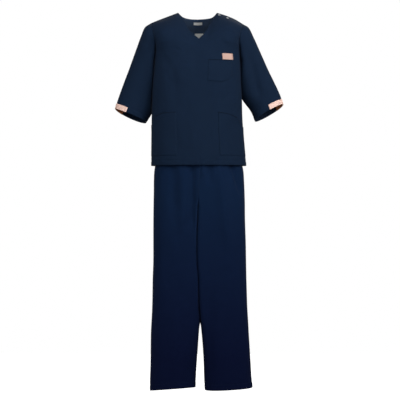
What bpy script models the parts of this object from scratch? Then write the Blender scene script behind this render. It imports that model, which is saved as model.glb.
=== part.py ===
"""Scrub set: a short-sleeved V-neck top over straight trousers, worn and filled out with no wearer.

All tables are in millimetres. "down" is the distance below the side neck points, x grows towards
the wearer's left and y grows towards the back. Meshes are written in metres with +Z up.
"""
from collections import namedtuple

import bpy
import bmesh
import numpy as np
from mathutils import Vector
from mathutils.bvhtree import BVHTree

MM = 0.001

# Cloth
WALL = 1.5
SEAM_GAP = 0.3
MITRE_LIMIT = 0.85
CUSP_GAIN = 4
PATCH_WALL = 1.1
PATCH_LIFT = 0.6
CLOTH_ROUGHNESS = 0.85
SHARP_ANGLE = 40

# How finely each panel is divided
SHOULDER_COLUMNS = 7
NECK_COLUMNS = 6
YOKE_ROWS = 10
BODY_ROWS = 15
SLEEVE_ROWS = 10
LEG_COLUMNS = 12
HIP_ROWS = 8
LEG_ROWS = 13
BAND_ROWS = 2
SECTION_SAMPLES = 400

# Squareness of the body sections: 2 is an ellipse, more is boxier
BODY_POWER = 2.3
LEG_POWER = 2.35
SLEEVE_POWER = 2.1

# How early the chest and back reach full depth below the shoulders: 1 is a straight slope
YOKE_ROUNDING = 1.7

# Body of the top, one row a level from the armpits to the hem
TopRow = namedtuple("TopRow", "down right_x left_x front back")
TOP_ROWS = [
    TopRow(166, -177, 171, 115, 114),
    TopRow(200, -180, 172, 120, 114),
    TopRow(250, -184, 174, 123, 110),
    TopRow(300, -188, 175, 122, 107),
    TopRow(360, -191, 178, 120, 106),
    TopRow(430, -192, 180, 120, 112),
    TopRow(500, -192, 184, 121, 119),
    TopRow(560, -193, 189, 122, 123),
    TopRow(627, -194, 196, 124, 125),
]

# Points along the edges of the top
Spot = namedtuple("Spot", "x y down")
RIGHT_SHOULDER = [Spot(-193, 8, 40), Spot(-166, 8, 29), Spot(-124, 8, 13), Spot(-84, 8, -2)]
LEFT_SHOULDER = [Spot(76, 8, -2), Spot(114, 8, 10), Spot(150, 8, 25), Spot(180, 8, 43)]
NECK_RIGHT = [Spot(-84, 8, -2), Spot(-67, -24, 22), Spot(-51, -52, 50), Spot(-37, -74, 80),
              Spot(-16, -92, 103), Spot(2, -101, 118)]
NECK_LEFT = [Spot(2, -101, 118), Spot(21, -91, 98), Spot(41, -68, 68), Spot(50, -50, 48),
             Spot(60, -24, 23), Spot(76, 8, -2)]
NECK_BACK_RIGHT = [Spot(-84, 8, -2), Spot(-65, 32, 12), Spot(-36, 55, 17), Spot(-4, 62, 18)]
NECK_BACK_LEFT = [Spot(-4, 62, 18), Spot(28, 55, 17), Spot(58, 32, 13), Spot(76, 8, -2)]
ARMHOLE_RIGHT_FRONT = [Spot(-193, 8, 40), Spot(-188, -44, 66), Spot(-180, -68, 98),
                       Spot(-174, -60, 133), Spot(-176, -36, 157), Spot(-177, 0, 166)]
ARMHOLE_RIGHT_BACK = [Spot(-193, 8, 40), Spot(-185, 54, 66), Spot(-175, 76, 98),
                      Spot(-173, 50, 136), Spot(-177, 0, 166)]
ARMHOLE_LEFT_FRONT = [Spot(180, 8, 43), Spot(175, -44, 69), Spot(168, -68, 99),
                      Spot(165, -60, 133), Spot(169, -36, 157), Spot(171, 0, 166)]
ARMHOLE_LEFT_BACK = [Spot(180, 8, 43), Spot(174, 54, 69), Spot(166, 76, 99),
                     Spot(164, 50, 136), Spot(171, 0, 166)]

# Sleeves, one row a ring below the armhole: its outer and inner point, its reach to front and back,
# and the squareness of its inner half, which lies flat against the body near the armpit
SleeveRow = namedtuple("SleeveRow", "out_x out_down in_x in_down front back middle_y front_up back_down "
                       "inner_power")
SLEEVE_RIGHT = [
    SleeveRow(-218, 57, -182, 182, 70, 78, 6, 0, 0, 3.6),
    SleeveRow(-236, 94, -178, 207, 68, 77, 10, 0, 0, 3.6),
    SleeveRow(-253, 140, -175, 242, 66, 74, 13, 0, 2, 3.3),
    SleeveRow(-275, 200, -174, 286, 62, 70, 16, 0, 4, 2.9),
    SleeveRow(-303, 275, -180, 350, 58, 65, 19, 1, 8, 2.4),
    SleeveRow(-332, 356, -194, 414, 55, 60, 20, 3, 10, 2.1),
    SleeveRow(-343, 391, -215, 447, 54, 58, 20, 3, 12, 2.1),
]
SLEEVE_LEFT = [
    SleeveRow(203, 58, 177, 182, 70, 78, 6, 0, 0, 3.6),
    SleeveRow(228, 103, 172, 208, 68, 77, 10, 0, 0, 3.6),
    SleeveRow(249, 150, 168, 245, 66, 74, 13, 2, 0, 3.3),
    SleeveRow(278, 213, 167, 288, 62, 70, 16, 5, 3, 2.9),
    SleeveRow(310, 282, 176, 345, 58, 65, 19, 9, 6, 2.4),
    SleeveRow(338, 343, 217, 406, 55, 60, 20, 11, 9, 2.1),
    SleeveRow(349, 375, 232, 442, 54, 58, 20, 10, 10, 2.1),
]
SLEEVE_CLEARANCE = 2.6
ARMPIT_CLEARANCE = 0.6
CLEARANCE_RAMP = 30

# Trousers above the crotch
HipRow = namedtuple("HipRow", "down right_x left_x front back seam_x")
HIP_ROWS_TABLE = [
    HipRow(529, -150, 148, 100, 106, 0),
    HipRow(564, -154, 152, 102, 111, 0),
    HipRow(600, -171, 170, 107, 120, 1),
    HipRow(640, -180, 182, 110, 124.1, 3),
    HipRow(690, -183, 186, 111, 124, 3),
    HipRow(740, -183, 188, 108, 120, 0),
    HipRow(790, -184, 190, 102, 112, -2),
]
CROTCH_DOWN = 790
WAIST_TOP = 529
WAIST_SEAM = 564
FRONT_RISE_BEND = 690
BACK_RISE_BEND = 660
HIP_TO_LEG = (590, 960)
OUTER_SHARE_STARTS = 0.7

# Trousers below the crotch: outer and inner side of each leg, reach to front and back
LegRow = namedtuple("LegRow", "down right_out right_in left_in left_out front back")
LEG_ROWS_TABLE = [
    LegRow(790, -184, -2.2, -1.8, 190, 98, 106),
    LegRow(849, -185, -4.2, -3.8, 191, 92, 96),
    LegRow(943, -185, -7.2, -6.8, 194, 84, 88),
    LegRow(1021, -185, -5.7, -5.1, 195, 79, 83),
    LegRow(1078, -187, -0.3, 0.3, 196, 77, 80),
    LegRow(1177, -189, 3.3, 4.1, 199, 73, 76),
    LegRow(1251, -192, 7.0, 7.9, 203, 70, 73),
    LegRow(1308, -195, 1.8, 12.8, 206, 68, 71),
    LegRow(1374, -196, -3, 18, 210, 66, 69),
    LegRow(1439, -197, -7.5, 21.2, 214, 64, 67),
    LegRow(1505, -199, -11, 23.5, 218, 62, 66),
    LegRow(1540, -199, -12, 26, 222, 61, 66),
]
# Squareness of the inner half of each leg, which lies flat against the other leg until they part
InnerCorner = namedtuple("InnerCorner", "down power")
INNER_CORNERS = [
    InnerCorner(790, 4.6),
    InnerCorner(1100, 4.0),
    InnerCorner(1260, 3.2),
    InnerCorner(1440, 2.35),
]
HemLine = namedtuple("HemLine", "out_down in_down per_y")
HEM_RIGHT = HemLine(1548, 1534, 0.12)
HEM_LEFT = HemLine(1533, 1544, 0.0)
HEM_FADE = 120

# Folds seen from the front or the back: a trough has a positive depth, a ridge a negative one.
# Each fades out over the taper share at its ends, and where the cloth turns to the side.
FOLD_TAPER = 0.3
FOLD_FACING = 1.4
Fold = namedtuple("Fold", "side x0 down0 x1 down1 width depth")
TOP_FOLDS = [
    Fold("front", -150, 188, -118, 232, 13, 5),
    Fold("front", -118, 215, -96, 330, 14, 5),
    Fold("front", -96, 300, -84, 400, 16, 3),
    Fold("front", -150, 255, -128, 380, 22, -4),
    Fold("front", -60, 190, -84, 300, 26, -4),
    Fold("front", -10, 170, -14, 300, 16, 3),
    Fold("front", 142, 70, 166, 96, 12, 3),
    Fold("front", 60, 330, 20, 440, 26, 3),
    Fold("front", 88, 330, 96, 410, 12, 3),
    Fold("front", 20, 410, 34, 540, 24, 3),
    Fold("front", -120, 470, -60, 600, 30, 3),
    Fold("front", 140, 430, 128, 600, 26, 3),
    Fold("front", 0, 520, 10, 640, 30, -3),
    Fold("back", -140, 180, -95, 260, 16, 5),
    Fold("back", 138, 178, 100, 270, 16, 5),
    Fold("back", -70, 300, -88, 470, 20, 4),
    Fold("back", 30, 280, 12, 430, 20, 4),
    Fold("back", 96, 330, 110, 520, 22, 4),
    Fold("back", -30, 90, 34, 96, 14, 2),
]
SLEEVE_FOLDS = [
    Fold("front", 212, 160, 246, 370, 17, 9),
    Fold("front", -224, 150, -226, 400, 26, 4),
    Fold("front", 282, 250, 306, 352, 26, -3),
    Fold("back", 222, 190, 262, 350, 20, 7),
    Fold("back", -232, 200, -264, 380, 20, 7),
]
TROUSER_FOLDS = [
    Fold("front", -62, 550, -66, 940, 20, -7),
    Fold("front", -27, 550, -25, 930, 14, 12),
    Fold("front", 18, 550, 22, 720, 11, -5),
    Fold("front", 42, 550, 48, 720, 10, 6),
    Fold("front", 72, 550, 126, 1010, 22, -9),
    Fold("front", 112, 560, 180, 760, 12, 11),
    Fold("front", -112, 560, -100, 860, 20, 6),
    Fold("front", -138, 880, -118, 1260, 32, 4.5),
    Fold("front", 42, 1080, 52, 1510, 20, 6),
    Fold("front", -86, 1120, -96, 1520, 28, -4.5),
    Fold("back", -60, 550, -70, 800, 16, 7),
    Fold("back", -118, 570, -104, 840, 18, 7),
    Fold("back", 34, 550, 42, 780, 14, 6),
    Fold("back", 92, 590, 84, 920, 18, -5),
    Fold("back", 140, 580, 124, 880, 18, 7),
    Fold("back", -90, 980, -84, 1470, 24, 6),
    Fold("back", 96, 960, 108, 1490, 24, 6),
]

# Patches on the front of the top, their edges from the wearer's right to left
Edge = namedtuple("Edge", "x down")
HIP_POCKET_RIGHT_TOP = [Edge(-186, 462), Edge(-171, 427), Edge(-136, 415), Edge(-86, 413)]
HIP_POCKET_LEFT_TOP = [Edge(86, 414), Edge(120, 419), Edge(155, 434), Edge(178, 470)]
HIP_POCKET_BOTTOM = [Edge(-86, 588), Edge(86, 588)]
HIP_POCKET_SIDE_GAP = 0.05
HIP_POCKET_ROWS = 10
CHEST_POCKET_TOP = [Edge(38, 204), Edge(134, 204)]
CHEST_POCKET_BOTTOM = [Edge(38, 290), Edge(97, 293), Edge(122, 281), Edge(134, 264)]
CHEST_POCKET_ROWS = 6
CHEST_LABEL_TOP = [Edge(95, 178), Edge(137, 178)]
CHEST_LABEL_BOTTOM = [Edge(95, 203), Edge(137, 203)]
CHEST_LABEL_ROWS = 2
HIP_MOUTH = 3.0
CHEST_MOUTH = 1.2
MOUTH_FADE = 30.0
NARROWEST_COLUMN = 0.25

NECK_LABEL_X = (-15.5, 19.5)
NECK_LABEL_DOWN = (73, 95)
NECK_LABEL_ROWS = 3
NECK_LABEL_COLUMNS = 4

Snap = namedtuple("Snap", "name x down")
SNAPS = [Snap("snap_neck_side", 84, 12), Snap("snap_shoulder_side", 118, 26)]
SNAP_RADIUS = 5.5
SNAP_HEIGHT = 2.2
SNAP_EDGE = 1.2
SNAP_LIFT = 0.5
SNAP_SIDES = 20
IN_FRONT = -300

# Cuff tape: its height, its columns in front of the sleeve's outer line and behind it, and the most
# of the last sleeve row that it may cover
CUFF_TAPE_UP = 20.0
CUFF_TAPE_FRONT = {"right": 4, "left": 5}
CUFF_TAPE_BACK = 3
CUFF_TAPE_SHARE = 0.95
# The tape's section has points 0 to 5 on its far face and 6 to 9 on the face against the cloth:
# for each far point, the near point beside it
CUFF_TAPE_BESIDE = (9, 8, 8, 7, 7, 6)

TOP_GROUPS = [("top_front", "top_back"), ("sleeve_right",), ("sleeve_left",)]
TROUSER_GROUPS = [("trouser_right_front", "trouser_right_back"),
                  ("trouser_left_front", "trouser_left_back")]

COLOURS = {
    "navy_cloth": (0.010, 0.022, 0.050),
    "navy_trouser_cloth": (0.008, 0.018, 0.045),
    "pink_tape": (0.90, 0.58, 0.50),
    "white_label": (0.85, 0.85, 0.83),
    "grey_snap": (0.45, 0.48, 0.50),
}


Panel = namedtuple("Panel", "grid sign closed")


def clear_scene():
    for item in list(bpy.data.objects):
        bpy.data.objects.remove(item, do_unlink=True)


def smooth_curve(knots, values, at):
    """Smooth curve through the values, which holds the end values beyond its ends."""
    knots = np.asarray(knots, float)
    values = np.asarray(values, float)
    at = np.clip(at, knots[0], knots[-1])
    slopes = np.gradient(values, knots)
    index = np.clip(np.searchsorted(knots, at) - 1, 0, len(knots) - 2)
    span = knots[index + 1] - knots[index]
    t = (at - knots[index]) / span
    return ((2 * t**3 - 3 * t**2 + 1) * values[index]
            + (t**3 - 2 * t**2 + t) * span * slopes[index]
            + (3 * t**2 - 2 * t**3) * values[index + 1]
            + (t**3 - t**2) * span * slopes[index + 1])


def row_at(table, down):
    """The table's row at a level between its rows."""
    levels = [row.down for row in table]
    return type(table[0])(*[smooth_curve(levels, [row[i] for row in table], down)
                            for i in range(len(table[0]))])


def along(spots, count):
    """Evenly spaced points on a smooth line through the spots."""
    points = np.array(spots, float)
    run = np.concatenate([[0], np.cumsum(np.linalg.norm(np.diff(points, axis=0), axis=1))])
    wanted = np.linspace(0, run[-1], count + 1)
    return np.stack([smooth_curve(run, points[:, i], wanted) for i in range(3)], axis=1)


def even(x, y, count):
    """Resamples a plane line to evenly spaced points."""
    run = np.concatenate([[0], np.cumsum(np.hypot(np.diff(x), np.diff(y)))])
    wanted = np.linspace(0, run[-1], count + 1)
    return np.interp(wanted, run, x), np.interp(wanted, run, y)


def half_section(low_x, high_x, reach, powers, count, start=0.0, end=np.pi):
    """Evenly spaced points of a rounded half section, with a power for its low x and its high x side."""
    angle = np.linspace(start, end, SECTION_SAMPLES)
    power = np.where(angle < np.pi / 2, *powers)
    middle = (low_x + high_x) / 2
    half = (high_x - low_x) / 2
    x = middle - half * np.sign(np.cos(angle)) * np.abs(np.cos(angle)) ** (2 / power)
    y = reach * np.abs(np.sin(angle)) ** (2 / power)
    return even(x, y, count)


def ease(t):
    """Smooth step from 0 to 1."""
    t = np.clip(t, 0, 1)
    return t * t * (3 - 2 * t)


def yoke(top_edge, chest, right_edge, left_edge, rows):
    """Rows between the neck and shoulder line and the chest row, bent out to both armholes."""
    across = np.linspace(0, 1, len(chest))
    right_share = ease(1 - 2 * across)[:, None]
    left_share = ease(2 * across - 1)[:, None]
    grid = []
    for k in range(rows + 1):
        s = k / rows
        straight = (1 - s) * top_edge + s * chest
        straight[:, 1] = chest[:, 1] + (top_edge[:, 1] - chest[:, 1]) * (1 - s) ** YOKE_ROUNDING
        to_right = right_share * (right_edge[k] - straight[0])
        to_left = left_share * (left_edge[k] - straight[-1])
        grid.append(straight + to_right + to_left)
    return grid


def body_row(down, sign, columns):
    """One row of the top's front (sign -1) or back (sign 1), from side seam to side seam."""
    row = row_at(TOP_ROWS, down)
    reach = row.front if sign < 0 else row.back
    x, y = half_section(row.right_x, row.left_x, reach, (BODY_POWER, BODY_POWER), columns)
    return np.stack([x, sign * y, np.full(len(x), float(down))], axis=1)


def body_panel(sign, neck_right, neck_left, hole_right, hole_left):
    """The front or back of the top, from the neck and shoulders down to the hem."""
    columns = 2 * (SHOULDER_COLUMNS + NECK_COLUMNS)
    top_edge = np.concatenate([
        along(RIGHT_SHOULDER, SHOULDER_COLUMNS)[:-1],
        along(neck_right, NECK_COLUMNS)[:-1],
        along(neck_left, NECK_COLUMNS)[:-1],
        along(LEFT_SHOULDER, SHOULDER_COLUMNS),
    ])
    chest = body_row(TOP_ROWS[0].down, sign, columns)
    grid = yoke(top_edge, chest, hole_right, hole_left, YOKE_ROWS)
    levels = np.linspace(TOP_ROWS[0].down, TOP_ROWS[-1].down, BODY_ROWS + 1)[1:]
    grid += [body_row(down, sign, columns) for down in levels]
    return np.array(grid)


def sleeve_ring(row, half_columns):
    """One ring from the outer point round the front to the inner point and back behind."""
    middle = np.array([(row.out_x + row.in_x) / 2, row.middle_y, (row.out_down + row.in_down) / 2])
    half = np.array([(row.out_x - row.in_x) / 2, 0, (row.out_down - row.in_down) / 2])
    ring = []
    for sign, reach, shift in ((-1, row.front, -row.front_up), (1, row.back, row.back_down)):
        across, out = half_section(-1, 1, 1, (SLEEVE_POWER, row.inner_power), half_columns)
        for a, o in zip(-across, out):
            ring.append(middle + a * half + o * np.array([0, sign * reach, shift]))
    front_half = ring[:half_columns + 1]
    back_half = ring[half_columns + 1:]
    return np.array(front_half[:-1] + back_half[::-1][:-1])


def clear_of_body(points, out_sign):
    """Moves sleeve points that would fall in the body out to just beside it."""
    moved = points.copy()
    for i, (x, y, down) in enumerate(points):
        if down < TOP_ROWS[0].down:
            continue
        row = row_at(TOP_ROWS, down)
        reach = row.front if y < 0 else row.back
        side = row.left_x if out_sign > 0 else row.right_x
        middle = (row.left_x + row.right_x) / 2
        if abs(y) >= reach:
            continue
        wide = (1 - (abs(y) / reach) ** BODY_POWER) ** (1 / BODY_POWER)
        share = ease((down - TOP_ROWS[0].down) / CLEARANCE_RAMP)
        clearance = ARMPIT_CLEARANCE + share * (SLEEVE_CLEARANCE - ARMPIT_CLEARANCE)
        limit = middle + (side - middle) * wide + out_sign * clearance
        if (x - limit) * out_sign < 0:
            moved[i, 0] = limit
    return moved


def sleeve(front_edge, back_edge, table, out_sign):
    """Rows of rings from the armhole to the cuff."""
    half_columns = len(front_edge) - 1
    hole = np.concatenate([front_edge[:-1], back_edge[::-1][:-1]])
    knots = [0.0]
    rings = [hole]
    for row in table:
        ring = sleeve_ring(row, half_columns)
        knots.append(knots[-1] + np.linalg.norm(ring - rings[-1], axis=1).mean())
        rings.append(ring)
    rings = np.array(rings)
    wanted = np.linspace(0, knots[-1], SLEEVE_ROWS + 1)
    grid = np.zeros((SLEEVE_ROWS + 1,) + hole.shape)
    for c in range(hole.shape[0]):
        for i in range(3):
            grid[:, c, i] = smooth_curve(knots, rings[:, c, i], wanted)
    for r in range(1, SLEEVE_ROWS + 1):
        grid[r] = clear_of_body(grid[r], out_sign)
    return grid


def hip_quarter(down, side, sign, columns):
    """From the centre seam round to the side seam, above the crotch."""
    row = row_at(HIP_ROWS_TABLE, down)
    reach = row.front if sign < 0 else row.back
    outer = row.left_x if side > 0 else row.right_x
    low_x, high_x = sorted((2 * row.seam_x - outer, outer))
    start = np.pi / 2 if side > 0 else 0
    powers = (BODY_POWER, BODY_POWER)
    x, y = half_section(low_x, high_x, reach, powers, columns, start, start + np.pi / 2)
    points = np.stack([x, sign * y, np.full(len(x), float(down))], axis=1)
    return points[::side]


def leg_half(down, side, sign, columns):
    """From the inseam round to the side seam, below the crotch."""
    row = row_at(LEG_ROWS_TABLE, down)
    reach = row.front if sign < 0 else row.back
    inner, outer = (row.left_in, row.left_out) if side > 0 else (row.right_in, row.right_out)
    low_x, high_x = sorted((inner, outer))
    inner_power = row_at(INNER_CORNERS, down).power
    x, y = half_section(low_x, high_x, reach, (inner_power, LEG_POWER)[::side], columns)
    points = np.stack([x, sign * y, np.full(len(x), float(down))], axis=1)[::side]
    hem = HEM_LEFT if side > 0 else HEM_RIGHT
    share = ease((down - (LEG_ROWS_TABLE[-1].down - HEM_FADE)) / HEM_FADE)
    t = (points[:, 0] - inner) / (outer - inner)
    target = hem.in_down + t * (hem.out_down - hem.in_down) + hem.per_y * points[:, 1]
    points[:, 2] += share * (target - LEG_ROWS_TABLE[-1].down)
    return points


def trouser_row(down, side, sign, columns):
    """One row of a trouser panel, from the hip section to the leg section."""
    bend = FRONT_RISE_BEND if sign < 0 else BACK_RISE_BEND
    t = np.clip((down - bend) / (CROTCH_DOWN - bend), 0, 1)
    inner_share = 1 - np.sqrt(1 - t * t)
    outer_share = ease((down - HIP_TO_LEG[0]) / (HIP_TO_LEG[1] - HIP_TO_LEG[0]))
    across = ease(np.linspace(0, 1, columns + 1) / OUTER_SHARE_STARTS)
    share = (inner_share + (outer_share - inner_share) * across)[:, None]
    hip = hip_quarter(min(down, CROTCH_DOWN), side, sign, columns)
    leg = leg_half(max(down, CROTCH_DOWN), side, sign, columns)
    row = (1 - share) * hip + share * leg
    if down < CROTCH_DOWN:
        row[:, 2] = down
        row[0, 0] = row_at(HIP_ROWS_TABLE, down).seam_x
    else:
        row[:, 2] = leg[:, 2]
    return row


def trouser_panel(side, sign):
    """One quarter of the trousers, with rows closer together where the rise curves under."""
    bend = FRONT_RISE_BEND if sign < 0 else BACK_RISE_BEND
    plain = np.linspace(WAIST_SEAM, bend, HIP_ROWS // 2, endpoint=False)
    curve = bend + (CROTCH_DOWN - bend) * np.sin(np.linspace(0, np.pi / 2, HIP_ROWS // 2 + 2))
    legs = np.linspace(CROTCH_DOWN, LEG_ROWS_TABLE[-1].down, LEG_ROWS + 1)
    downs = [*plain, *curve[:-1], *legs]
    return np.array([trouser_row(down, side, sign, LEG_COLUMNS) for down in downs])


def keys_of(grid):
    """A name for every point, equal for points that two panels share."""
    return [[tuple(np.round(point, 2) + 0.0) for point in row] for row in grid]


def grid_normals(panels):
    """Unit normals at every point, shared by the panels given where they meet."""
    sums = {}
    keys = {name: keys_of(panel.grid) for name, panel in panels.items()}
    for name, (grid, sign, closed) in panels.items():
        rows, cols = grid.shape[:2]
        key = keys[name]
        for r in range(rows - 1):
            for c in range(cols if closed else cols - 1):
                d = (c + 1) % cols
                normal = sign * np.cross(grid[r, d] - grid[r + 1, c], grid[r + 1, d] - grid[r, c])
                for corner in {key[r][c], key[r][d], key[r + 1][c], key[r + 1][d]}:
                    sums[corner] = sums.get(corner, np.zeros(3)) + normal
    return {name: looked_up(sums, key) for name, key in keys.items()}


def looked_up(sums, keys):
    """The summed normals of a grid of keys, at unit length."""
    return unit(np.array([[sums[key] for key in row] for row in keys]))


def mitre_normals(panels, groups):
    """Each group's own normals, and the directions halfway between groups where they meet."""
    own = {}
    sums = {}
    for group in groups:
        normals = grid_normals({name: panels[name] for name in group})
        own.update(normals)
        seen = {}
        for name in group:
            for row, line in zip(keys_of(panels[name].grid), normals[name]):
                seen.update(zip(row, line))
        for key, normal in seen.items():
            sums[key] = sums.get(key, np.zeros(3)) + normal
    shared = {name: looked_up(sums, keys_of(panels[name].grid)) for name in own}
    return own, shared


def folded(panels, folds):
    """Every panel with its points moved in or out by the folds that cross it."""
    normals = grid_normals(panels)
    out = {}
    for name, (grid, sign, closed) in panels.items():
        normal = normals[name]
        depth = np.zeros(grid.shape[:2])
        for fold in folds:
            facing = -normal[..., 1] if fold.side == "front" else normal[..., 1]
            start = np.array([fold.x0, fold.down0], float)
            run = np.array([fold.x1, fold.down1], float) - start
            length = np.linalg.norm(run)
            offset = grid[..., [0, 2]] - start
            t = (offset @ run) / length**2
            away = np.abs(offset[..., 0] * run[1] - offset[..., 1] * run[0]) / length
            taper = ease(t / FOLD_TAPER) * ease((1 - t) / FOLD_TAPER)
            seen = np.clip(FOLD_FACING * facing, 0, 1)
            depth += fold.depth * np.exp(-(away / fold.width) ** 2) * taper * seen
        out[name] = Panel(grid - depth[..., None] * normal, sign, closed)
    return out


def skins_of(panel, own, shared, seams):
    """Outer and inner skin of one panel, mitred to its neighbours and set back half a gap at its seams."""
    grid, sign, closed = panel
    lean = np.sum(shared * own, axis=2, keepdims=True)
    cusp = ease((MITRE_LIMIT - lean) / MITRE_LIMIT * CUSP_GAIN)
    through = unit((1 - cusp) * shared + cusp * own)
    outer = grid.copy()
    square_on = np.sum(through * own, axis=2, keepdims=True)
    inner = grid - WALL * through / np.maximum(square_on, MITRE_LIMIT)
    for seam in seams:
        here = 0 if seam.startswith("first") else -1
        near = 1 if seam.startswith("first") else -2
        across = (here, slice(None)) if seam.endswith("row") else (slice(None), here)
        beside = (near, slice(None)) if seam.endswith("row") else (slice(None), near)
        line = grid[across]
        tangent = np.roll(line, -1, axis=0) - np.roll(line, 1, axis=0)
        if not (closed and seam.endswith("row")):
            tangent[0] = line[1] - line[0]
            tangent[-1] = line[-1] - line[-2]
        tangent = unit(tangent)
        back = grid[beside] - line
        back = unit(back - np.sum(back * tangent, axis=1, keepdims=True) * tangent)
        back = back - own[across]
        back = unit(back - np.sum(back * shared[across], axis=1, keepdims=True) * shared[across])
        outer[across] += SEAM_GAP / 2 * back
        inner[across] += SEAM_GAP / 2 * back
    return outer, inner


def unit(vectors):
    return vectors / np.maximum(np.linalg.norm(vectors, axis=-1, keepdims=True), 1e-9)


def to_world(point):
    return (point[0] * MM, point[1] * MM, -point[2] * MM)


def material(name, colour):
    made = bpy.data.materials.new(name)
    made.use_nodes = True
    shader = made.node_tree.nodes["Principled BSDF"]
    shader.inputs["Base Color"].default_value = (*COLOURS[colour], 1)
    shader.inputs["Roughness"].default_value = CLOTH_ROUGHNESS
    return made


def finish_object(name, bm, colour, collection):
    bmesh.ops.remove_doubles(bm, verts=bm.verts, dist=1e-6)
    bmesh.ops.recalc_face_normals(bm, faces=bm.faces)
    mesh = bpy.data.meshes.new(name)
    bm.to_mesh(mesh)
    bm.free()
    item = bpy.data.objects.new(name, mesh)
    mesh.materials.append(material(name, colour))
    for face in mesh.polygons:
        face.use_smooth = True
    mesh.set_sharp_from_angle(angle=np.radians(SHARP_ANGLE))
    collection.objects.link(item)
    return item


def wall(name, outer, inner, closed, colour, collection):
    """A closed wall between two skins of the same layout, each square split at its shorter diagonal."""
    rows, cols = outer.shape[:2]
    bm = bmesh.new()
    skins = []
    for skin in (outer, inner):
        skins.append([[bm.verts.new(to_world(skin[r, c])) for c in range(cols)] for r in range(rows)])
    last = cols if closed else cols - 1
    for r in range(rows - 1):
        for c in range(last):
            d = (c + 1) % cols
            down_right = np.linalg.norm(outer[r + 1, d] - outer[r, c])
            down_left = np.linalg.norm(outer[r + 1, c] - outer[r, d])
            for skin in skins:
                high, low = skin[r][c], skin[r + 1][c]
                next_low, next_high = skin[r + 1][d], skin[r][d]
                if down_right < down_left:
                    halves = ((high, low, next_low), (high, next_low, next_high))
                else:
                    halves = ((high, low, next_high), (low, next_low, next_high))
                for corners in halves:
                    bm.faces.new(corners)
    for c in range(last):
        d = (c + 1) % cols
        bm.faces.new([skins[0][0][c], skins[0][0][d], skins[1][0][d], skins[1][0][c]])
        bm.faces.new([skins[0][-1][d], skins[0][-1][c], skins[1][-1][c], skins[1][-1][d]])
    if not closed:
        for r in range(rows - 1):
            bm.faces.new([skins[0][r + 1][0], skins[0][r][0], skins[1][r][0], skins[1][r + 1][0]])
            bm.faces.new([skins[0][r][-1], skins[0][r + 1][-1], skins[1][r + 1][-1], skins[1][r][-1]])
    return finish_object(name, bm, colour, collection)


def pick(grid, normal, column, down):
    """Point and normal of a panel at a column position and a level below the chest row."""
    c0 = int(np.clip(np.floor(column), 0, grid.shape[1] - 2))
    share = column - c0
    line = (1 - share) * grid[:, c0] + share * grid[:, c0 + 1]
    turn = (1 - share) * normal[:, c0] + share * normal[:, c0 + 1]
    levels = line[YOKE_ROWS:, 2]
    point = np.array([np.interp(down, levels, line[YOKE_ROWS:, i]) for i in range(3)])
    way = np.array([np.interp(down, levels, turn[YOKE_ROWS:, i]) for i in range(3)])
    return point, way / np.linalg.norm(way)


def column_of(grid, x, down):
    """Column position of the front panel where it passes x at a level."""
    xs = [np.interp(down, grid[YOKE_ROWS:, c, 2], grid[YOKE_ROWS:, c, 0]) for c in range(grid.shape[1])]
    return float(np.interp(x, xs, range(grid.shape[1])))


def down_at(edge, x):
    """Level of an edge where it passes x."""
    xs, downs = zip(*edge)
    return float(np.interp(x, xs, downs))


def patch(name, front, first, last, top, bottom, rows, mouth, colour, collection):
    """A layer lying on the front panel, made from the panel's own columns moved out.

    front is the panel's outer skin and its normals, first and last are column positions.
    """
    inside = range(int(np.ceil(first + NARROWEST_COLUMN)), int(np.ceil(last - NARROWEST_COLUMN)))
    columns = [first, *inside, last]
    outer = np.zeros((rows + 1, len(columns), 3))
    inner = np.zeros_like(outer)
    middle_down = (down_at(top, 0) + down_at(bottom, 0)) / 2
    for j, column in enumerate(columns):
        x = pick(*front, column, middle_down)[0][0]
        high, low = down_at(top, x), down_at(bottom, x)
        bulge = mouth * np.sin(np.pi * (column - first) / (last - first))
        for r in range(rows + 1):
            down = high + (low - high) * r / rows
            point, way = pick(*front, column, down)
            stand = PATCH_LIFT + bulge * ease(1 - (down - high) / MOUTH_FADE)
            inner[r, j] = point + way * stand
            outer[r, j] = point + way * (stand + PATCH_WALL)
    return wall(name, outer, inner, False, colour, collection)


def cast(tree, x, y, down):
    """Where a line towards the back meets a skin: the spot and the skin's normal towards the front."""
    spot, turn, _, _ = tree.ray_cast(Vector(to_world((x, y, down))), Vector((0, 1, 0)))
    turn = np.array(turn)
    return np.array(spot), turn if turn[1] < 0 else -turn


def skin_tree(skin):
    rows, cols = skin.shape[:2]
    points = [to_world(p) for p in skin.reshape(-1, 3)]
    faces = [(r * cols + c, (r + 1) * cols + c, (r + 1) * cols + c + 1, r * cols + c + 1)
             for r in range(rows - 1) for c in range(cols - 1)]
    return BVHTree.FromPolygons(points, faces)


def neck_label(inner_skin, collection):
    """A small label lying on the inside of the back, seen through the V of the neck."""
    tree = skin_tree(inner_skin)
    near = np.zeros((NECK_LABEL_ROWS + 1, NECK_LABEL_COLUMNS + 1, 3))
    far = np.zeros_like(near)
    for r, down in enumerate(np.linspace(*NECK_LABEL_DOWN, NECK_LABEL_ROWS + 1)):
        for c, x in enumerate(np.linspace(*NECK_LABEL_X, NECK_LABEL_COLUMNS + 1)):
            spot, turn = cast(tree, x, 0, down)
            near[r, c] = (spot + turn * PATCH_LIFT * MM) / MM
            far[r, c] = (spot + turn * (PATCH_LIFT + PATCH_WALL) * MM) / MM
    near[..., 2] *= -1
    far[..., 2] *= -1
    return wall("neck_label", far, near, False, "white_label", collection)


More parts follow.
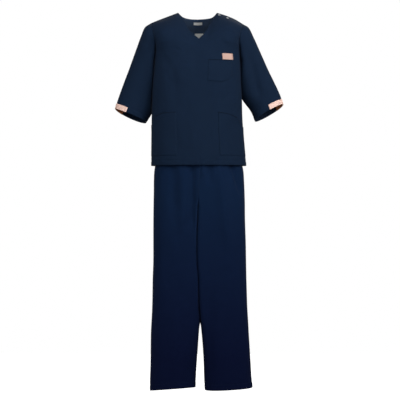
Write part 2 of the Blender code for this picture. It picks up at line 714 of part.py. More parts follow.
def snap(name, outer_skin, x, down, collection):
    """A low domed snap cap on the front, square to the cloth under it."""
    spot, turn = cast(skin_tree(outer_skin), x, IN_FRONT, down)
    bm = bmesh.new()
    bmesh.ops.create_cone(bm, cap_ends=True, segments=SNAP_SIDES, radius1=SNAP_RADIUS * MM,
                          radius2=SNAP_RADIUS * MM, depth=SNAP_HEIGHT * MM)
    top_edges = [edge for edge in bm.edges if all(v.co.z > 0 for v in edge.verts)]
    bmesh.ops.bevel(bm, geom=top_edges, offset=SNAP_EDGE * MM, segments=2, profile=0.5, affect="EDGES")
    way = Vector(turn)
    turning = way.to_track_quat("Z", "Y").to_matrix().to_4x4()
    bmesh.ops.transform(bm, matrix=turning, verts=bm.verts)
    shift = Vector(spot) + way * (SNAP_LIFT + SNAP_HEIGHT / 2) * MM
    bmesh.ops.translate(bm, vec=shift, verts=bm.verts)
    return finish_object(name, bm, "grey_snap", collection)


def cuff_tape(name, outer, inner, normal, front_columns, collection):
    """A tape folded over the outer part of a cuff, outside and inside."""
    cols = outer.shape[1]
    rows = []
    for step in range(-CUFF_TAPE_BACK, front_columns + 1):
        c = step % cols
        way = normal[-1, c]
        edge_out, edge_in = outer[-1, c], inner[-1, c]
        up = outer[-2, c] - edge_out
        length = np.linalg.norm(up)
        up = up / length
        reach = min(CUFF_TAPE_UP, CUFF_TAPE_SHARE * length)
        gap, thick = PATCH_LIFT, PATCH_WALL
        rows.append([
            edge_out + up * reach + way * (gap + thick),
            edge_out - up * gap + way * (gap + thick),
            edge_out - up * (gap + thick) + way * gap,
            edge_in - up * (gap + thick) - way * gap,
            edge_in - up * gap - way * (gap + thick),
            edge_in + up * reach - way * (gap + thick),
            edge_in + up * reach - way * gap,
            edge_in - up * gap - way * gap,
            edge_out - up * gap + way * gap,
            edge_out + up * reach + way * gap,
        ])
    bm = bmesh.new()
    verts = [[bm.verts.new(to_world(p)) for p in row] for row in rows]
    count = len(rows[0])
    for line, after in zip(verts[:-1], verts[1:]):
        for i in range(count):
            j = (i + 1) % count
            bm.faces.new([line[i], line[j], after[j], after[i]])
    for end in (verts[0], verts[-1]):
        for far, (near, next_near) in enumerate(zip(CUFF_TAPE_BESIDE, CUFF_TAPE_BESIDE[1:])):
            corners = [end[far], end[far + 1], end[next_near]]
            if next_near != near:
                corners.append(end[near])
            bm.faces.new(corners)
    return finish_object(name, bm, "pink_tape", collection)


def build_top():
    """The four cloth panels of the top, with their folds."""
    hole = {}
    for name, spots in (("right_front", ARMHOLE_RIGHT_FRONT), ("right_back", ARMHOLE_RIGHT_BACK),
                        ("left_front", ARMHOLE_LEFT_FRONT), ("left_back", ARMHOLE_LEFT_BACK)):
        hole[name] = along(spots, YOKE_ROWS)
    front = body_panel(-1, NECK_RIGHT, NECK_LEFT, hole["right_front"], hole["left_front"])
    back = body_panel(1, NECK_BACK_RIGHT, NECK_BACK_LEFT, hole["right_back"], hole["left_back"])
    right = sleeve(hole["right_front"], hole["right_back"], SLEEVE_RIGHT, -1)
    left = sleeve(hole["left_front"], hole["left_back"], SLEEVE_LEFT, 1)
    panels = {
        "top_front": Panel(front, 1, False),
        "top_back": Panel(back, -1, False),
        "sleeve_right": Panel(right, 1, True),
        "sleeve_left": Panel(left, -1, True),
    }
    return folded(panels, TOP_FOLDS + SLEEVE_FOLDS)


def build_trousers():
    """The four cloth panels of the trousers, with their folds."""
    panels = {}
    for side, side_name in ((-1, "right"), (1, "left")):
        for sign, face_name in ((-1, "front"), (1, "back")):
            name = f"trouser_{side_name}_{face_name}"
            panels[name] = Panel(trouser_panel(side, sign), -side * sign, False)
    return folded(panels, TROUSER_FOLDS)


def waistband(panels, collection):
    """The band above the four trouser panels, a ring made from their top rows."""
    order = [("trouser_right_front", 1), ("trouser_right_back", -1),
             ("trouser_left_back", 1), ("trouser_left_front", -1)]
    low = []
    for name, way in order:
        row = panels[name].grid[0][::way]
        low += list(row[:-1:2])
    low = np.array(low)
    low[:, 2] = WAIST_SEAM - SEAM_GAP
    top_row = row_at(HIP_ROWS_TABLE, WAIST_TOP)
    seam_row = row_at(HIP_ROWS_TABLE, WAIST_SEAM)
    grid = []
    for share in np.linspace(0, 1, BAND_ROWS + 1):
        ring = low.copy()
        scale_x = ((1 - share) * top_row.left_x + share * seam_row.left_x) / seam_row.left_x
        scale_y = ((1 - share) * top_row.back + share * seam_row.back) / seam_row.back
        ring[:, 0] *= scale_x
        ring[:, 1] *= scale_y
        ring[:, 2] = WAIST_TOP + share * (WAIST_SEAM - SEAM_GAP - WAIST_TOP)
        grid.append(ring)
    grid = np.array(grid)
    inward = np.array([-grid[..., 0], -grid[..., 1], np.zeros(grid.shape[:2])]).transpose(1, 2, 0)
    inward /= np.linalg.norm(inward, axis=2, keepdims=True)
    return wall("waistband", grid, grid + inward * WALL, True, "navy_trouser_cloth", collection)


def main():
    clear_scene()
    collection = bpy.data.collections.new("scrub_set")
    bpy.context.scene.collection.children.link(collection)

    top = build_top()
    normals, mitres = mitre_normals(top, TOP_GROUPS)
    edges = {
        "top_front": ("first_row", "first_column", "last_column"),
        "top_back": ("first_row", "first_column", "last_column"),
        "sleeve_right": ("first_row",),
        "sleeve_left": ("first_row",),
    }
    skins = {}
    for name, panel in top.items():
        skins[name] = skins_of(panel, normals[name], mitres[name], edges[name])
        wall(name, *skins[name], panel.closed, "navy_cloth", collection)

    front_outer = skins["top_front"][0]
    front = (front_outer, normals["top_front"])
    right_inner = column_of(front_outer, *HIP_POCKET_BOTTOM[0])
    left_inner = column_of(front_outer, *HIP_POCKET_BOTTOM[1])
    last_column = front_outer.shape[1] - 1
    patch("hip_pocket_right", front, HIP_POCKET_SIDE_GAP, right_inner, HIP_POCKET_RIGHT_TOP,
          HIP_POCKET_BOTTOM, HIP_POCKET_ROWS, HIP_MOUTH, "navy_cloth", collection)
    patch("hip_pocket_left", front, left_inner, last_column - HIP_POCKET_SIDE_GAP, HIP_POCKET_LEFT_TOP,
          HIP_POCKET_BOTTOM, HIP_POCKET_ROWS, HIP_MOUTH, "navy_cloth", collection)
    patch("chest_pocket", front, column_of(front_outer, *CHEST_POCKET_TOP[0]),
          column_of(front_outer, *CHEST_POCKET_TOP[1]), CHEST_POCKET_TOP,
          CHEST_POCKET_BOTTOM, CHEST_POCKET_ROWS, CHEST_MOUTH, "navy_cloth", collection)
    patch("chest_label", front, column_of(front_outer, *CHEST_LABEL_TOP[0]),
          column_of(front_outer, *CHEST_LABEL_TOP[1]), CHEST_LABEL_TOP,
          CHEST_LABEL_BOTTOM, CHEST_LABEL_ROWS, 0.0, "pink_tape", collection)
    neck_label(skins["top_back"][1], collection)
    for name, x, down in SNAPS:
        snap(name, front_outer, x, down, collection)
    for side in ("right", "left"):
        outer, inner = skins[f"sleeve_{side}"]
        cuff_tape(f"cuff_tape_{side}", outer, inner, normals[f"sleeve_{side}"],
                  CUFF_TAPE_FRONT[side], collection)

    trousers = build_trousers()
    normals, mitres = mitre_normals(trousers, TROUSER_GROUPS)
    for name, panel in trousers.items():
        skin = skins_of(panel, normals[name], mitres[name], ("first_column", "last_column"))
        wall(name, *skin, panel.closed, "navy_trouser_cloth", collection)
    waistband(trousers, collection)


main()
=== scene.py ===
"""Looks of the scrub set: a V-neck top over straight trousers, filled out with no wearer.

The tables repeat the cut of the solids, in millimetres: "down" is the distance below the side neck
points, x grows towards the wearer's left and y towards the back. Meshes are in metres, +Z up.
"""
from collections import namedtuple

import bpy
import numpy as np
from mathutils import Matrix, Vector, noise
from mathutils.bvhtree import BVHTree


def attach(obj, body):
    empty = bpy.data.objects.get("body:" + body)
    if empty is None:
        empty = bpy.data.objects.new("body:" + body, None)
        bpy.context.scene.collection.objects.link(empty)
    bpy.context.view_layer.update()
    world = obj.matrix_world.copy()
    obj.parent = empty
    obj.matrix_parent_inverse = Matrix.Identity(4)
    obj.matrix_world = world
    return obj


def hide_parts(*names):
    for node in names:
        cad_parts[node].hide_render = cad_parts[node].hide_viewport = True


MM = 0.001


def rows_of(kind, *rows):
    """A table whose rows have the kind's named columns."""
    return [kind(*row) for row in rows]


# Cloth
SHELL = 1.2
SEAM_GAP = 0.3
PATCH_WALL = 0.6
PATCH_LIFT = 0.4
PATCH_EDGE = 6
PATCH_EDGE_LIFT = 0.4

# A distance past every seam and hem, for a panel that has none
FAR = 1e3

# Divisions of each panel, several to each division of its solid
SHOULDER_COLUMNS = 35
NECK_COLUMNS = 30
YOKE_ROWS = 50
BODY_STEP = 5
SLEEVE_STEP = 4.5
LEG_COLUMNS = 66
LEG_STEP = 5
HEM_STEP = 2.2
HEM_ZONE = 34
SECTION_SAMPLES = 800

# Squareness of the sections: 2 is an ellipse, more is boxier
BODY_POWER = 2.3
LEG_POWER = 2.35
SLEEVE_POWER = 2.1

# Rows where the rise curves under, how they close up, and how early the yoke reaches full depth
RISE_ROWS = 26
RISE_CLOSING = 1.7
YOKE_ROUNDING = 1.7

# Evening out of the bend between the yoke and the rows below it, in rows and columns
JOIN_REACH = 13
JOIN_PASSES = 70
JOIN_EDGE = 10

TopRow = namedtuple("TopRow", "down right_x left_x front back power")
TOP_ROWS = rows_of(
    TopRow,
    (166, -177, 171, 115, 114, 2.75),
    (200, -180, 172, 120, 114, 2.75),
    (250, -184, 174, 123, 110, 2.7),
    (300, -188, 175, 122, 107, 2.65),
    (360, -191, 178, 120, 106, 2.55),
    (430, -192, 180, 120, 112, 2.4),
    (500, -192, 184, 121, 119, 2.3),
    (560, -193, 189, 122, 123, 2.3),
    (627, -194, 196, 124, 125, 2.3),
)

Spot = namedtuple("Spot", "x y down")
RIGHT_SHOULDER = rows_of(Spot, (-193, 8, 40), (-166, 8, 29), (-124, 8, 13), (-84, 8, -2))
LEFT_SHOULDER = rows_of(Spot, (76, 8, -2), (114, 8, 10), (150, 8, 25), (180, 8, 43))
NECK_RIGHT = rows_of(
    Spot, (-84, 8, -2), (-67, -24, 22), (-51, -52, 50), (-37, -74, 80), (-16, -92, 103), (2, -101, 118))
NECK_LEFT = rows_of(
    Spot, (2, -101, 118), (21, -91, 98), (41, -68, 68), (50, -50, 48), (60, -24, 23), (76, 8, -2))
NECK_BACK_RIGHT = rows_of(Spot, (-84, 8, -2), (-65, 32, 12), (-36, 55, 17), (-4, 62, 18))
NECK_BACK_LEFT = rows_of(Spot, (-4, 62, 18), (28, 55, 17), (58, 32, 13), (76, 8, -2))
ARMHOLE_RIGHT_FRONT = rows_of(
    Spot, (-193, 8, 40), (-188, -44, 66), (-180, -68, 98), (-174, -60, 133), (-176, -36, 157),
    (-177, 0, 166))
ARMHOLE_RIGHT_BACK = rows_of(
    Spot, (-193, 8, 40), (-185, 54, 66), (-175, 76, 98), (-173, 50, 136), (-177, 0, 166))
ARMHOLE_LEFT_FRONT = rows_of(
    Spot, (180, 8, 43), (175, -44, 69), (168, -68, 99), (165, -60, 133), (169, -36, 157), (171, 0, 166))
ARMHOLE_LEFT_BACK = rows_of(
    Spot, (180, 8, 43), (174, 54, 69), (166, 76, 99), (164, 50, 136), (171, 0, 166))

SleeveRow = namedtuple("SleeveRow", "out_x out_down in_x in_down front back middle_y front_up "
                       "back_down inner_power")
SLEEVE_RIGHT = rows_of(
    SleeveRow,
    (-218, 57, -174, 182, 70, 78, 6, 0, 0, 3.6),
    (-236, 94, -178, 207, 68, 77, 10, 0, 0, 3.6),
    (-253, 140, -175, 242, 66, 74, 13, 0, 2, 3.3),
    (-275, 200, -174, 286, 62, 70, 16, 0, 4, 2.9),
    (-303, 275, -180, 350, 58, 65, 19, 1, 8, 2.4),
    (-332, 356, -194, 414, 55, 60, 20, 3, 10, 2.1),
    (-343, 391, -215, 447, 54, 58, 20, 3, 12, 2.1),
)
SLEEVE_LEFT = rows_of(
    SleeveRow,
    (203, 58, 168, 182, 70, 78, 6, 0, 0, 3.6),
    (228, 103, 172, 208, 68, 77, 10, 0, 0, 3.6),
    (249, 150, 168, 245, 66, 74, 13, 2, 0, 3.3),
    (278, 213, 167, 288, 62, 70, 16, 5, 3, 2.9),
    (310, 282, 176, 345, 58, 65, 19, 9, 6, 2.4),
    (338, 343, 217, 406, 55, 60, 20, 11, 9, 2.1),
    (349, 375, 232, 442, 54, 58, 20, 10, 10, 2.1),
)

# Gap between sleeve and body, which opens over a ramp below the armpit
SLEEVE_CLEARANCE = 2.6
ARMPIT_CLEARANCE = 0.6
CLEARANCE_RAMP = 30

HipRow = namedtuple("HipRow", "down right_x left_x front back seam_x")
HIP_ROWS = rows_of(
    HipRow,
    (529, -150, 148, 100, 106, 0),
    (564, -154, 152, 102, 111, 0),
    (600, -171, 170, 107, 120, 1),
    (640, -180, 182, 110, 124.1, 3),
    (690, -183, 186, 111, 124, 3),
    (740, -183, 188, 108, 120, 0),
    (790, -184, 190, 102, 112, -2),
)
CROTCH_DOWN = 790
WAIST_TOP = 529
WAIST_SEAM = 564
FRONT_RISE_BEND = 735
BACK_RISE_BEND = 660
HIP_TO_LEG = (590, 960)

# Share of a row's width at its inner side, and the length that sets how many columns it gets
INNER_PART = 0.05
INNER_RUN = 80

LegRow = namedtuple("LegRow", "down right_out right_in left_in left_out front back")
LEG_ROWS = rows_of(
    LegRow,
    (790, -184, -2.2, -1.8, 190, 98, 106),
    (849, -185, -4.2, -3.8, 191, 92, 96),
    (943, -185, -7.2, -6.8, 194, 84, 88),
    (1021, -185, -5.7, -5.1, 195, 79, 83),
    (1078, -187, -0.3, 0.3, 196, 77, 80),
    (1177, -189, 3.3, 4.1, 199, 73, 76),
    (1222, -190.5, 5.4, 6.2, 201, 71, 74.5),
    (1251, -192, 6.6, 7.6, 203, 70, 73),
    (1308, -195, 1.8, 12.8, 206, 68, 71),
    (1374, -196, -3, 18, 210, 66, 69),
    (1439, -197, -7.5, 21.2, 214, 64, 67),
    (1505, -199, -11, 23.5, 218, 62, 66),
    (1540, -199, -12, 26, 222, 61, 66),
)
# Squareness of each leg's inner half, which lies flat against the other leg until they part
InnerCorner = namedtuple("InnerCorner", "down power")
INNER_CORNERS = rows_of(
    InnerCorner,
    (720, 22),
    (1000, 18),
    (1150, 13),
    (1260, 6),
    (1440, 2.35),
)
HemLine = namedtuple("HemLine", "out_down in_down per_y")
HEM_RIGHT = HemLine(1548, 1534, 0.12)
HEM_LEFT = HemLine(1533, 1544, 0)
HEM_FADE = 120

# Sideways bend of the narrow slit between the legs, which both legs share
SLIT_BEND = 2.6
SLIT_DEPTH = 24
SLIT_REACH = (84, 14)
SLIT_HALF_WIDTH = 60
SLIT_DOWN = (780, 1285)
SLIT_FADE = 30

# Folds: a trough has a positive depth, a ridge a negative one, and bow bends the line sideways
FOLD_TAPER = 0.3
FOLD_FACING = 1.4
Fold = namedtuple("Fold", "side x0 down0 x1 down1 width depth bow")


def folds_on(side, *rows):
    """Folds of one side, from rows of the columns after it."""
    return [Fold(side, *row) for row in rows]


TOP_FOLDS = folds_on(
    "front",
    (-152, 184, -112, 236, 15, 3.4, 3),
    (-114, 212, -92, 350, 16, 3.4, 4),
    (-92, 310, -84, 420, 18, 2.2, -2),
    (-148, 250, -128, 390, 24, -2.6, 3),
    (-64, 200, -76, 310, 28, -2.6, 0),
    (-10, 150, -14, 300, 18, 2, 3),
    (142, 70, 166, 96, 12, 3, 0),
    (60, 330, 20, 440, 28, 1.8, -4),
    (88, 330, 96, 420, 15, 1.8, 3),
    (20, 410, 34, 540, 26, 2, 4),
    (-120, 470, -60, 600, 30, 3, -5),
    (140, 430, 128, 600, 26, 3, 4),
    (0, 520, 10, 640, 30, -3, 0),
) + folds_on(
    "back",
    (-140, 180, -95, 260, 16, 5, 3),
    (138, 178, 100, 270, 16, 5, -3),
    (-70, 300, -88, 470, 20, 4, 5),
    (30, 280, 12, 430, 20, 4, -4),
    (96, 330, 110, 520, 22, 4, 5),
    (-30, 90, 34, 96, 14, 2, 4),
)
SLEEVE_FOLDS = folds_on(
    "front",
    (212, 160, 246, 370, 17, 9, 2),
    (-224, 150, -226, 400, 26, 4, 0),
    (282, 250, 306, 352, 26, -3, 0),
) + folds_on(
    "back",
    (222, 190, 262, 350, 20, 7, 3),
    (-232, 200, -264, 380, 20, 7, -3),
)
TROUSER_FOLDS = folds_on(
    "front",
    (-62, 550, -66, 940, 20, -7, 2),
    (-27, 550, -25, 930, 14, 12, 0),
    (18, 550, 22, 720, 11, -5, 0),
    (42, 550, 48, 720, 10, 6, 0),
    (72, 550, 126, 1010, 22, -9, 3),
    (112, 560, 180, 760, 12, 11, 3),
    (-112, 560, -100, 860, 20, 6, 4),
    (-138, 880, -118, 1260, 32, 4.5, 5),
    (42, 1080, 52, 1510, 20, 6, -3),
    (-86, 1120, -96, 1520, 28, -4.5, 4),
) + folds_on(
    "back",
    (-60, 550, -70, 800, 16, 7, 3),
    (-118, 570, -104, 840, 18, 7, -3),
    (34, 550, 42, 780, 14, 6, 0),
    (92, 590, 84, 920, 18, -5, 4),
    (140, 580, 124, 880, 18, 7, -3),
    (-90, 980, -84, 1470, 24, 6, 5),
    (96, 960, 108, 1490, 24, 6, -5),
)

# Small creases between the main folds
SMALL_FOLDS = folds_on(
    "front",
    (-104, 150, -70, 178, 7, 1.2, 3),
    (-132, 240, -108, 300, 7, 1.4, -4),
    (70, 128, 122, 150, 8, 1, 4),
    (128, 300, 104, 372, 9, 1.3, 4),
    (-40, 350, -62, 440, 9, 1.2, 5),
    (40, 470, 66, 560, 8, 1, -4),
    (-38, 450, -20, 560, 9, -1.1, 4),
    (-78, 590, -60, 700, 6, 1.6, 2),
    (4, 590, 6, 680, 5, 1.4, 0),
    (66, 580, 68, 680, 6, 1.4, 2),
    (104, 590, 108, 720, 7, 1.3, -2),
    (-134, 600, -142, 760, 9, 1.5, 3),
    (-20, 800, -70, 900, 12, 1.6, 8),
    (18, 800, 70, 880, 12, 1.6, -8),
    (80, 1040, 150, 1090, 14, 1.4, 9),
    (-70, 1060, -150, 1110, 14, 1.4, 9),
    (120, 1200, 138, 1480, 20, 1.8, 6),
    (-30, 1300, -22, 1500, 14, 1.4, 4),
) + folds_on(
    "back",
    (-60, 150, -20, 170, 8, 1, 4),
    (62, 200, 40, 300, 9, 1.3, 4),
    (-120, 330, -132, 450, 9, 1.3, 4),
    (60, 480, 74, 600, 10, 1.2, -4),
    (-20, 470, -34, 590, 10, -1.2, 4),
    (66, 590, 64, 700, 7, 1.5, 0),
    (-88, 590, -92, 690, 7, 1.5, 2),
    (-30, 800, -90, 860, 12, 1.8, 8),
    (30, 800, 96, 870, 12, 1.8, -8),
    (70, 1050, 160, 1080, 12, 1.6, 9),
    (-60, 1070, -150, 1100, 12, 1.6, -9),
    (150, 1150, 140, 1460, 20, 1.8, -6),
    (-140, 1180, -150, 1480, 20, 1.8, 6),
)

# Soft unevenness of hanging cloth, and the puckers that sewing pulls beside a seam
Ripple = namedtuple("Ripple", "across down depth")
RIPPLES = [Ripple(70, 150, 1.1), Ripple(28, 60, 0.35), Ripple(11, 20, 0.1)]
RIPPLE_FADE = 14
PUCKER_LENGTH = 15
PUCKER_SWAY = 2
PUCKER_SWAY_LENGTH = 37
PUCKER_PEAK = 3
PUCKER_DEPTH = 0.32
HEM_GROOVE = 0.55
HEM_GROOVE_WIDTH = 2.6
HEM_SWELL = 0.45
TOP_HEM_BAND = 20
SLEEVE_HEM_BAND = 22
LEG_HEM_BAND = 24

# Where each panel lies in the pattern of ripples
TOP_SEED_STEP = 17
LEG_SEED, LEG_SIDE_SEED, LEG_FACE_SEED = 80, 11, 5

# The gathered waistband
BAND_ROWS = 11
GATHER_COLUMNS = 8
GATHER_DEPTH = 0.004

# Patches on the front of the top
Edge = namedtuple("Edge", "x down")
HIP_POCKET_RIGHT_TOP = rows_of(Edge, (-186, 462), (-171, 427), (-136, 415), (-86, 413))
HIP_POCKET_LEFT_TOP = rows_of(Edge, (86, 414), (120, 419), (155, 434), (178, 470))
HIP_POCKET_BOTTOM = rows_of(Edge, (-86, 588), (86, 588))
CHEST_POCKET_TOP = rows_of(Edge, (38, 204), (134, 204))
CHEST_POCKET_BOTTOM = rows_of(Edge, (38, 290), (97, 293), (122, 281), (134, 264))
CHEST_LABEL_TOP = rows_of(Edge, (95, 178), (137, 178))
CHEST_LABEL_BOTTOM = rows_of(Edge, (95, 203), (137, 203))
HIP_POCKET_SIDE_GAP = 0.3
PATCH_STEP = 3.5
LABEL_STEP = 2
HIP_MOUTH = 3
CHEST_MOUTH = 1.4
MOUTH_FADE = 30
MOUTH_BAND = 22

NECK_LABEL_X = (-15.5, 19.5)
NECK_LABEL_DOWN = (73, 95)
NECK_LABEL_ROWS = 14
NECK_LABEL_COLUMNS = 20
NECK_HEM_SHIFT = 10

# Bare pale print inside the neck: its middle and half size on the cloth, across and down
NECK_MARK = ((1.5, 19.5), (18, 6))

# Distances above the trouser hem where the painted shade is full and where it ends, leaving the cloth's own
# tone
PAINTED_SHADE_ABOVE_HEM = (120, 780)

Snap = namedtuple("Snap", "name x down")
SNAPS = [Snap("snap_neck_side", 84, 12), Snap("snap_shoulder_side", 118, 26)]
SNAP_PROFILE = [(0, 2), (2.2, 2), (3, 2.25), (4.3, 2.1), (5.2, 1.5), (5.5, 0.8), (5.4, 0.1), (0, 0.1)]
SNAP_LIFT = 0.5
SNAP_SIDES = 40

# A place in front of the garment, to cast lines at it from
IN_FRONT = -300

# Tapes: height, and reach in columns to each side of the sleeve's outer line
CUFF_TAPE_UP = 20
CUFF_TAPE_FRONT = {"right": 21, "left": 25}
CUFF_TAPE_BACK = 15
CUFF_TAPE_STEPS = 8
CUFF_TURN_STEP = 30
CUFF_UP_ROWS = 5

Panel = namedtuple("Panel", "grid sign closed")


def smooth_curve(knots, values, at):
    """Smooth curve through the values, which holds the end values beyond its ends."""
    knots = np.asarray(knots, float)
    values = np.asarray(values, float)
    at = np.clip(at, knots[0], knots[-1])
    slopes = np.gradient(values, knots)
    index = np.clip(np.searchsorted(knots, at) - 1, 0, len(knots) - 2)
    span = knots[index + 1] - knots[index]
    t = (at - knots[index]) / span
    return ((2 * t**3 - 3 * t**2 + 1) * values[index]
            + (t**3 - 2 * t**2 + t) * span * slopes[index]
            + (3 * t**2 - 2 * t**3) * values[index + 1]
            + (t**3 - t**2) * span * slopes[index + 1])


def row_at(table, down):
    """The table's row at a level, or at an array of levels."""
    levels = [row.down for row in table]
    return type(table[0])(*[smooth_curve(levels, [row[i] for row in table], down)
                            for i in range(len(table[0]))])


def run_of(steps):
    """Distance from the first point, from the steps between points."""
    return np.concatenate([[0], np.cumsum(steps)])


def along(spots, count):
    """Evenly spaced points on a smooth line through the spots."""
    points = np.array(spots, float)
    run = run_of(np.linalg.norm(np.diff(points, axis=0), axis=1))
    wanted = np.linspace(0, run[-1], count + 1)
    return np.stack([smooth_curve(run, points[:, i], wanted) for i in range(3)], axis=1)


def half_section(low_x, high_x, reach, powers, count):
    """Evenly spaced points of a rounded half section, with a power for its low and its high x side."""
    angle = np.linspace(0, np.pi, SECTION_SAMPLES)
    power = np.where(angle < np.pi / 2, *powers)
    middle = (low_x + high_x) / 2
    half = (high_x - low_x) / 2
    x = middle - half * np.sign(np.cos(angle)) * np.abs(np.cos(angle)) ** (2 / power)
    y = reach * np.abs(np.sin(angle)) ** (2 / power)
    run = run_of(np.hypot(np.diff(x), np.diff(y)))
    wanted = np.linspace(0, run[-1], count + 1)
    return np.interp(wanted, run, x), np.interp(wanted, run, y)


def ease(t):
    """Smooth step from 0 to 1."""
    t = np.clip(t, 0, 1)
    return t * t * (3 - 2 * t)


def unit(vectors):
    return vectors / np.maximum(np.linalg.norm(vectors, axis=-1, keepdims=True), 1e-9)


def levels_between(top, bottom, step, hem=True):
    """Levels a step apart, closer together at the hem."""
    if not hem:
        return np.linspace(top, bottom, int((bottom - top) / step) + 1)
    plain = np.linspace(top, bottom - HEM_ZONE, int((bottom - HEM_ZONE - top) / step) + 1)
    fine = np.linspace(bottom - HEM_ZONE, bottom, int(HEM_ZONE / HEM_STEP) + 1)
    return np.concatenate([plain[:-1], fine])


def yoke(top_edge, chest, right_edge, left_edge):
    """Rows between the neck and shoulder line and the chest row, bent out to both armholes."""
    across = np.linspace(0, 1, len(chest))
    right_share = ease(1 - 2 * across)[:, None]
    left_share = ease(2 * across - 1)[:, None]
    grid = []
    for k in range(YOKE_ROWS + 1):
        s = k / YOKE_ROWS
        straight = (1 - s) * top_edge + s * chest
        straight[:, 1] = chest[:, 1] + (top_edge[:, 1] - chest[:, 1]) * (1 - s) ** YOKE_ROUNDING
        to_right = right_share * (right_edge[k] - straight[0])
        to_left = left_share * (left_edge[k] - straight[-1])
        grid.append(straight + to_right + to_left)
    return grid


def body_row(down, sign, columns):
    """One row of the top's front (sign -1) or back (sign 1), from side seam to side seam."""
    row = row_at(TOP_ROWS, down)
    reach = row.front if sign < 0 else row.back
    x, y = half_section(row.right_x, row.left_x, reach, (row.power, row.power), columns)
    return np.stack([x, sign * y, np.full(len(x), float(down))], axis=1)


def smooth_join(grid):
    """Evens out the bend where the yoke meets the rows below it, away from the side edges."""
    columns = np.arange(grid.shape[1])
    share = ease((np.minimum(columns, columns[::-1]) - 1) / JOIN_EDGE)[None, :, None]
    smooth = grid.copy()
    low, high = YOKE_ROWS - JOIN_REACH, YOKE_ROWS + JOIN_REACH
    for _ in range(JOIN_PASSES):
        beside = (smooth[low - 1:high - 1] + smooth[low + 1:high + 1]) / 2
        smooth[low:high] = (smooth[low:high] + beside) / 2
    return grid + share * (smooth - grid)


def body_panel(sign, neck_right, neck_left, hole_right, hole_left):
    """The front or back of the top, from the neck and shoulders down to the hem."""
    columns = 2 * (SHOULDER_COLUMNS + NECK_COLUMNS)
    top_edge = np.concatenate([
        along(RIGHT_SHOULDER, SHOULDER_COLUMNS)[:-1],
        along(neck_right, NECK_COLUMNS)[:-1],
        along(neck_left, NECK_COLUMNS)[:-1],
        along(LEFT_SHOULDER, SHOULDER_COLUMNS),
    ])
    chest = body_row(TOP_ROWS[0].down, sign, columns)
    levels = levels_between(TOP_ROWS[0].down, TOP_ROWS[-1].down, BODY_STEP)[1:]
    rows = yoke(top_edge, chest, hole_right, hole_left)
    return smooth_join(np.array(rows + [body_row(down, sign, columns) for down in levels]))


def sleeve_ring(row, half_columns):
    """One ring from the outer point round the front to the inner point and back behind."""
    middle = np.array([(row.out_x + row.in_x) / 2, row.middle_y, (row.out_down + row.in_down) / 2])
    half = np.array([(row.out_x - row.in_x) / 2, 0, (row.out_down - row.in_down) / 2])
    across, out = half_section(-1, 1, 1, (SLEEVE_POWER, row.inner_power), half_columns)
    front = middle - across[:, None] * half + out[:, None] * np.array([0, -row.front, -row.front_up])
    back = middle - across[:, None] * half + out[:, None] * np.array([0, row.back, row.back_down])
    return np.concatenate([front[:-1], back[::-1][:-1]])


def clear_of_body(grid, out_sign):
    """Moves sleeve points that would fall in the body out to just beside it."""
    moved = grid.copy()
    x, y, down = grid[..., 0], grid[..., 1], grid[..., 2]
    row = row_at(TOP_ROWS, down)
    reach = np.where(y < 0, row.front, row.back)
    side = row.left_x if out_sign > 0 else row.right_x
    middle = (row.left_x + row.right_x) / 2
    beside = np.clip(np.abs(y) / reach, 0, 1)
    wide = (1 - beside**row.power) ** (1 / row.power)
    share = ease((down - TOP_ROWS[0].down) / CLEARANCE_RAMP)
    clearance = ARMPIT_CLEARANCE + share * (SLEEVE_CLEARANCE - ARMPIT_CLEARANCE)
    limit = middle + (side - middle) * wide + out_sign * clearance
    inside = (down >= TOP_ROWS[0].down) & (beside < 1) & ((x - limit) * out_sign < 0)
    moved[..., 0] = np.where(inside, limit, x)
    return moved


def sleeve(front_edge, back_edge, table, out_sign):
    """Rows of rings from the armhole to the cuff."""
    half_columns = len(front_edge) - 1
    rings = [np.concatenate([front_edge[:-1], back_edge[::-1][:-1]])]
    rings += [sleeve_ring(row, half_columns) for row in table]
    rings = np.array(rings)
    steps = np.linalg.norm(np.diff(rings, axis=0), axis=2).mean(axis=1)
    knots = run_of(steps)
    wanted = levels_between(0, knots[-1], SLEEVE_STEP)
    grid = np.zeros((len(wanted),) + rings.shape[1:])
    for c in range(rings.shape[1]):
        for i in range(3):
            grid[:, c, i] = smooth_curve(knots, rings[:, c, i], wanted)
    grid[1:] = clear_of_body(grid[1:], out_sign)
    return grid


def slit_share(down):
    """1 where the legs touch, fading to 0 at the crotch and where they part."""
    return ease((down - SLIT_DOWN[0]) / SLIT_FADE) * ease((SLIT_DOWN[1] - down) / SLIT_FADE)


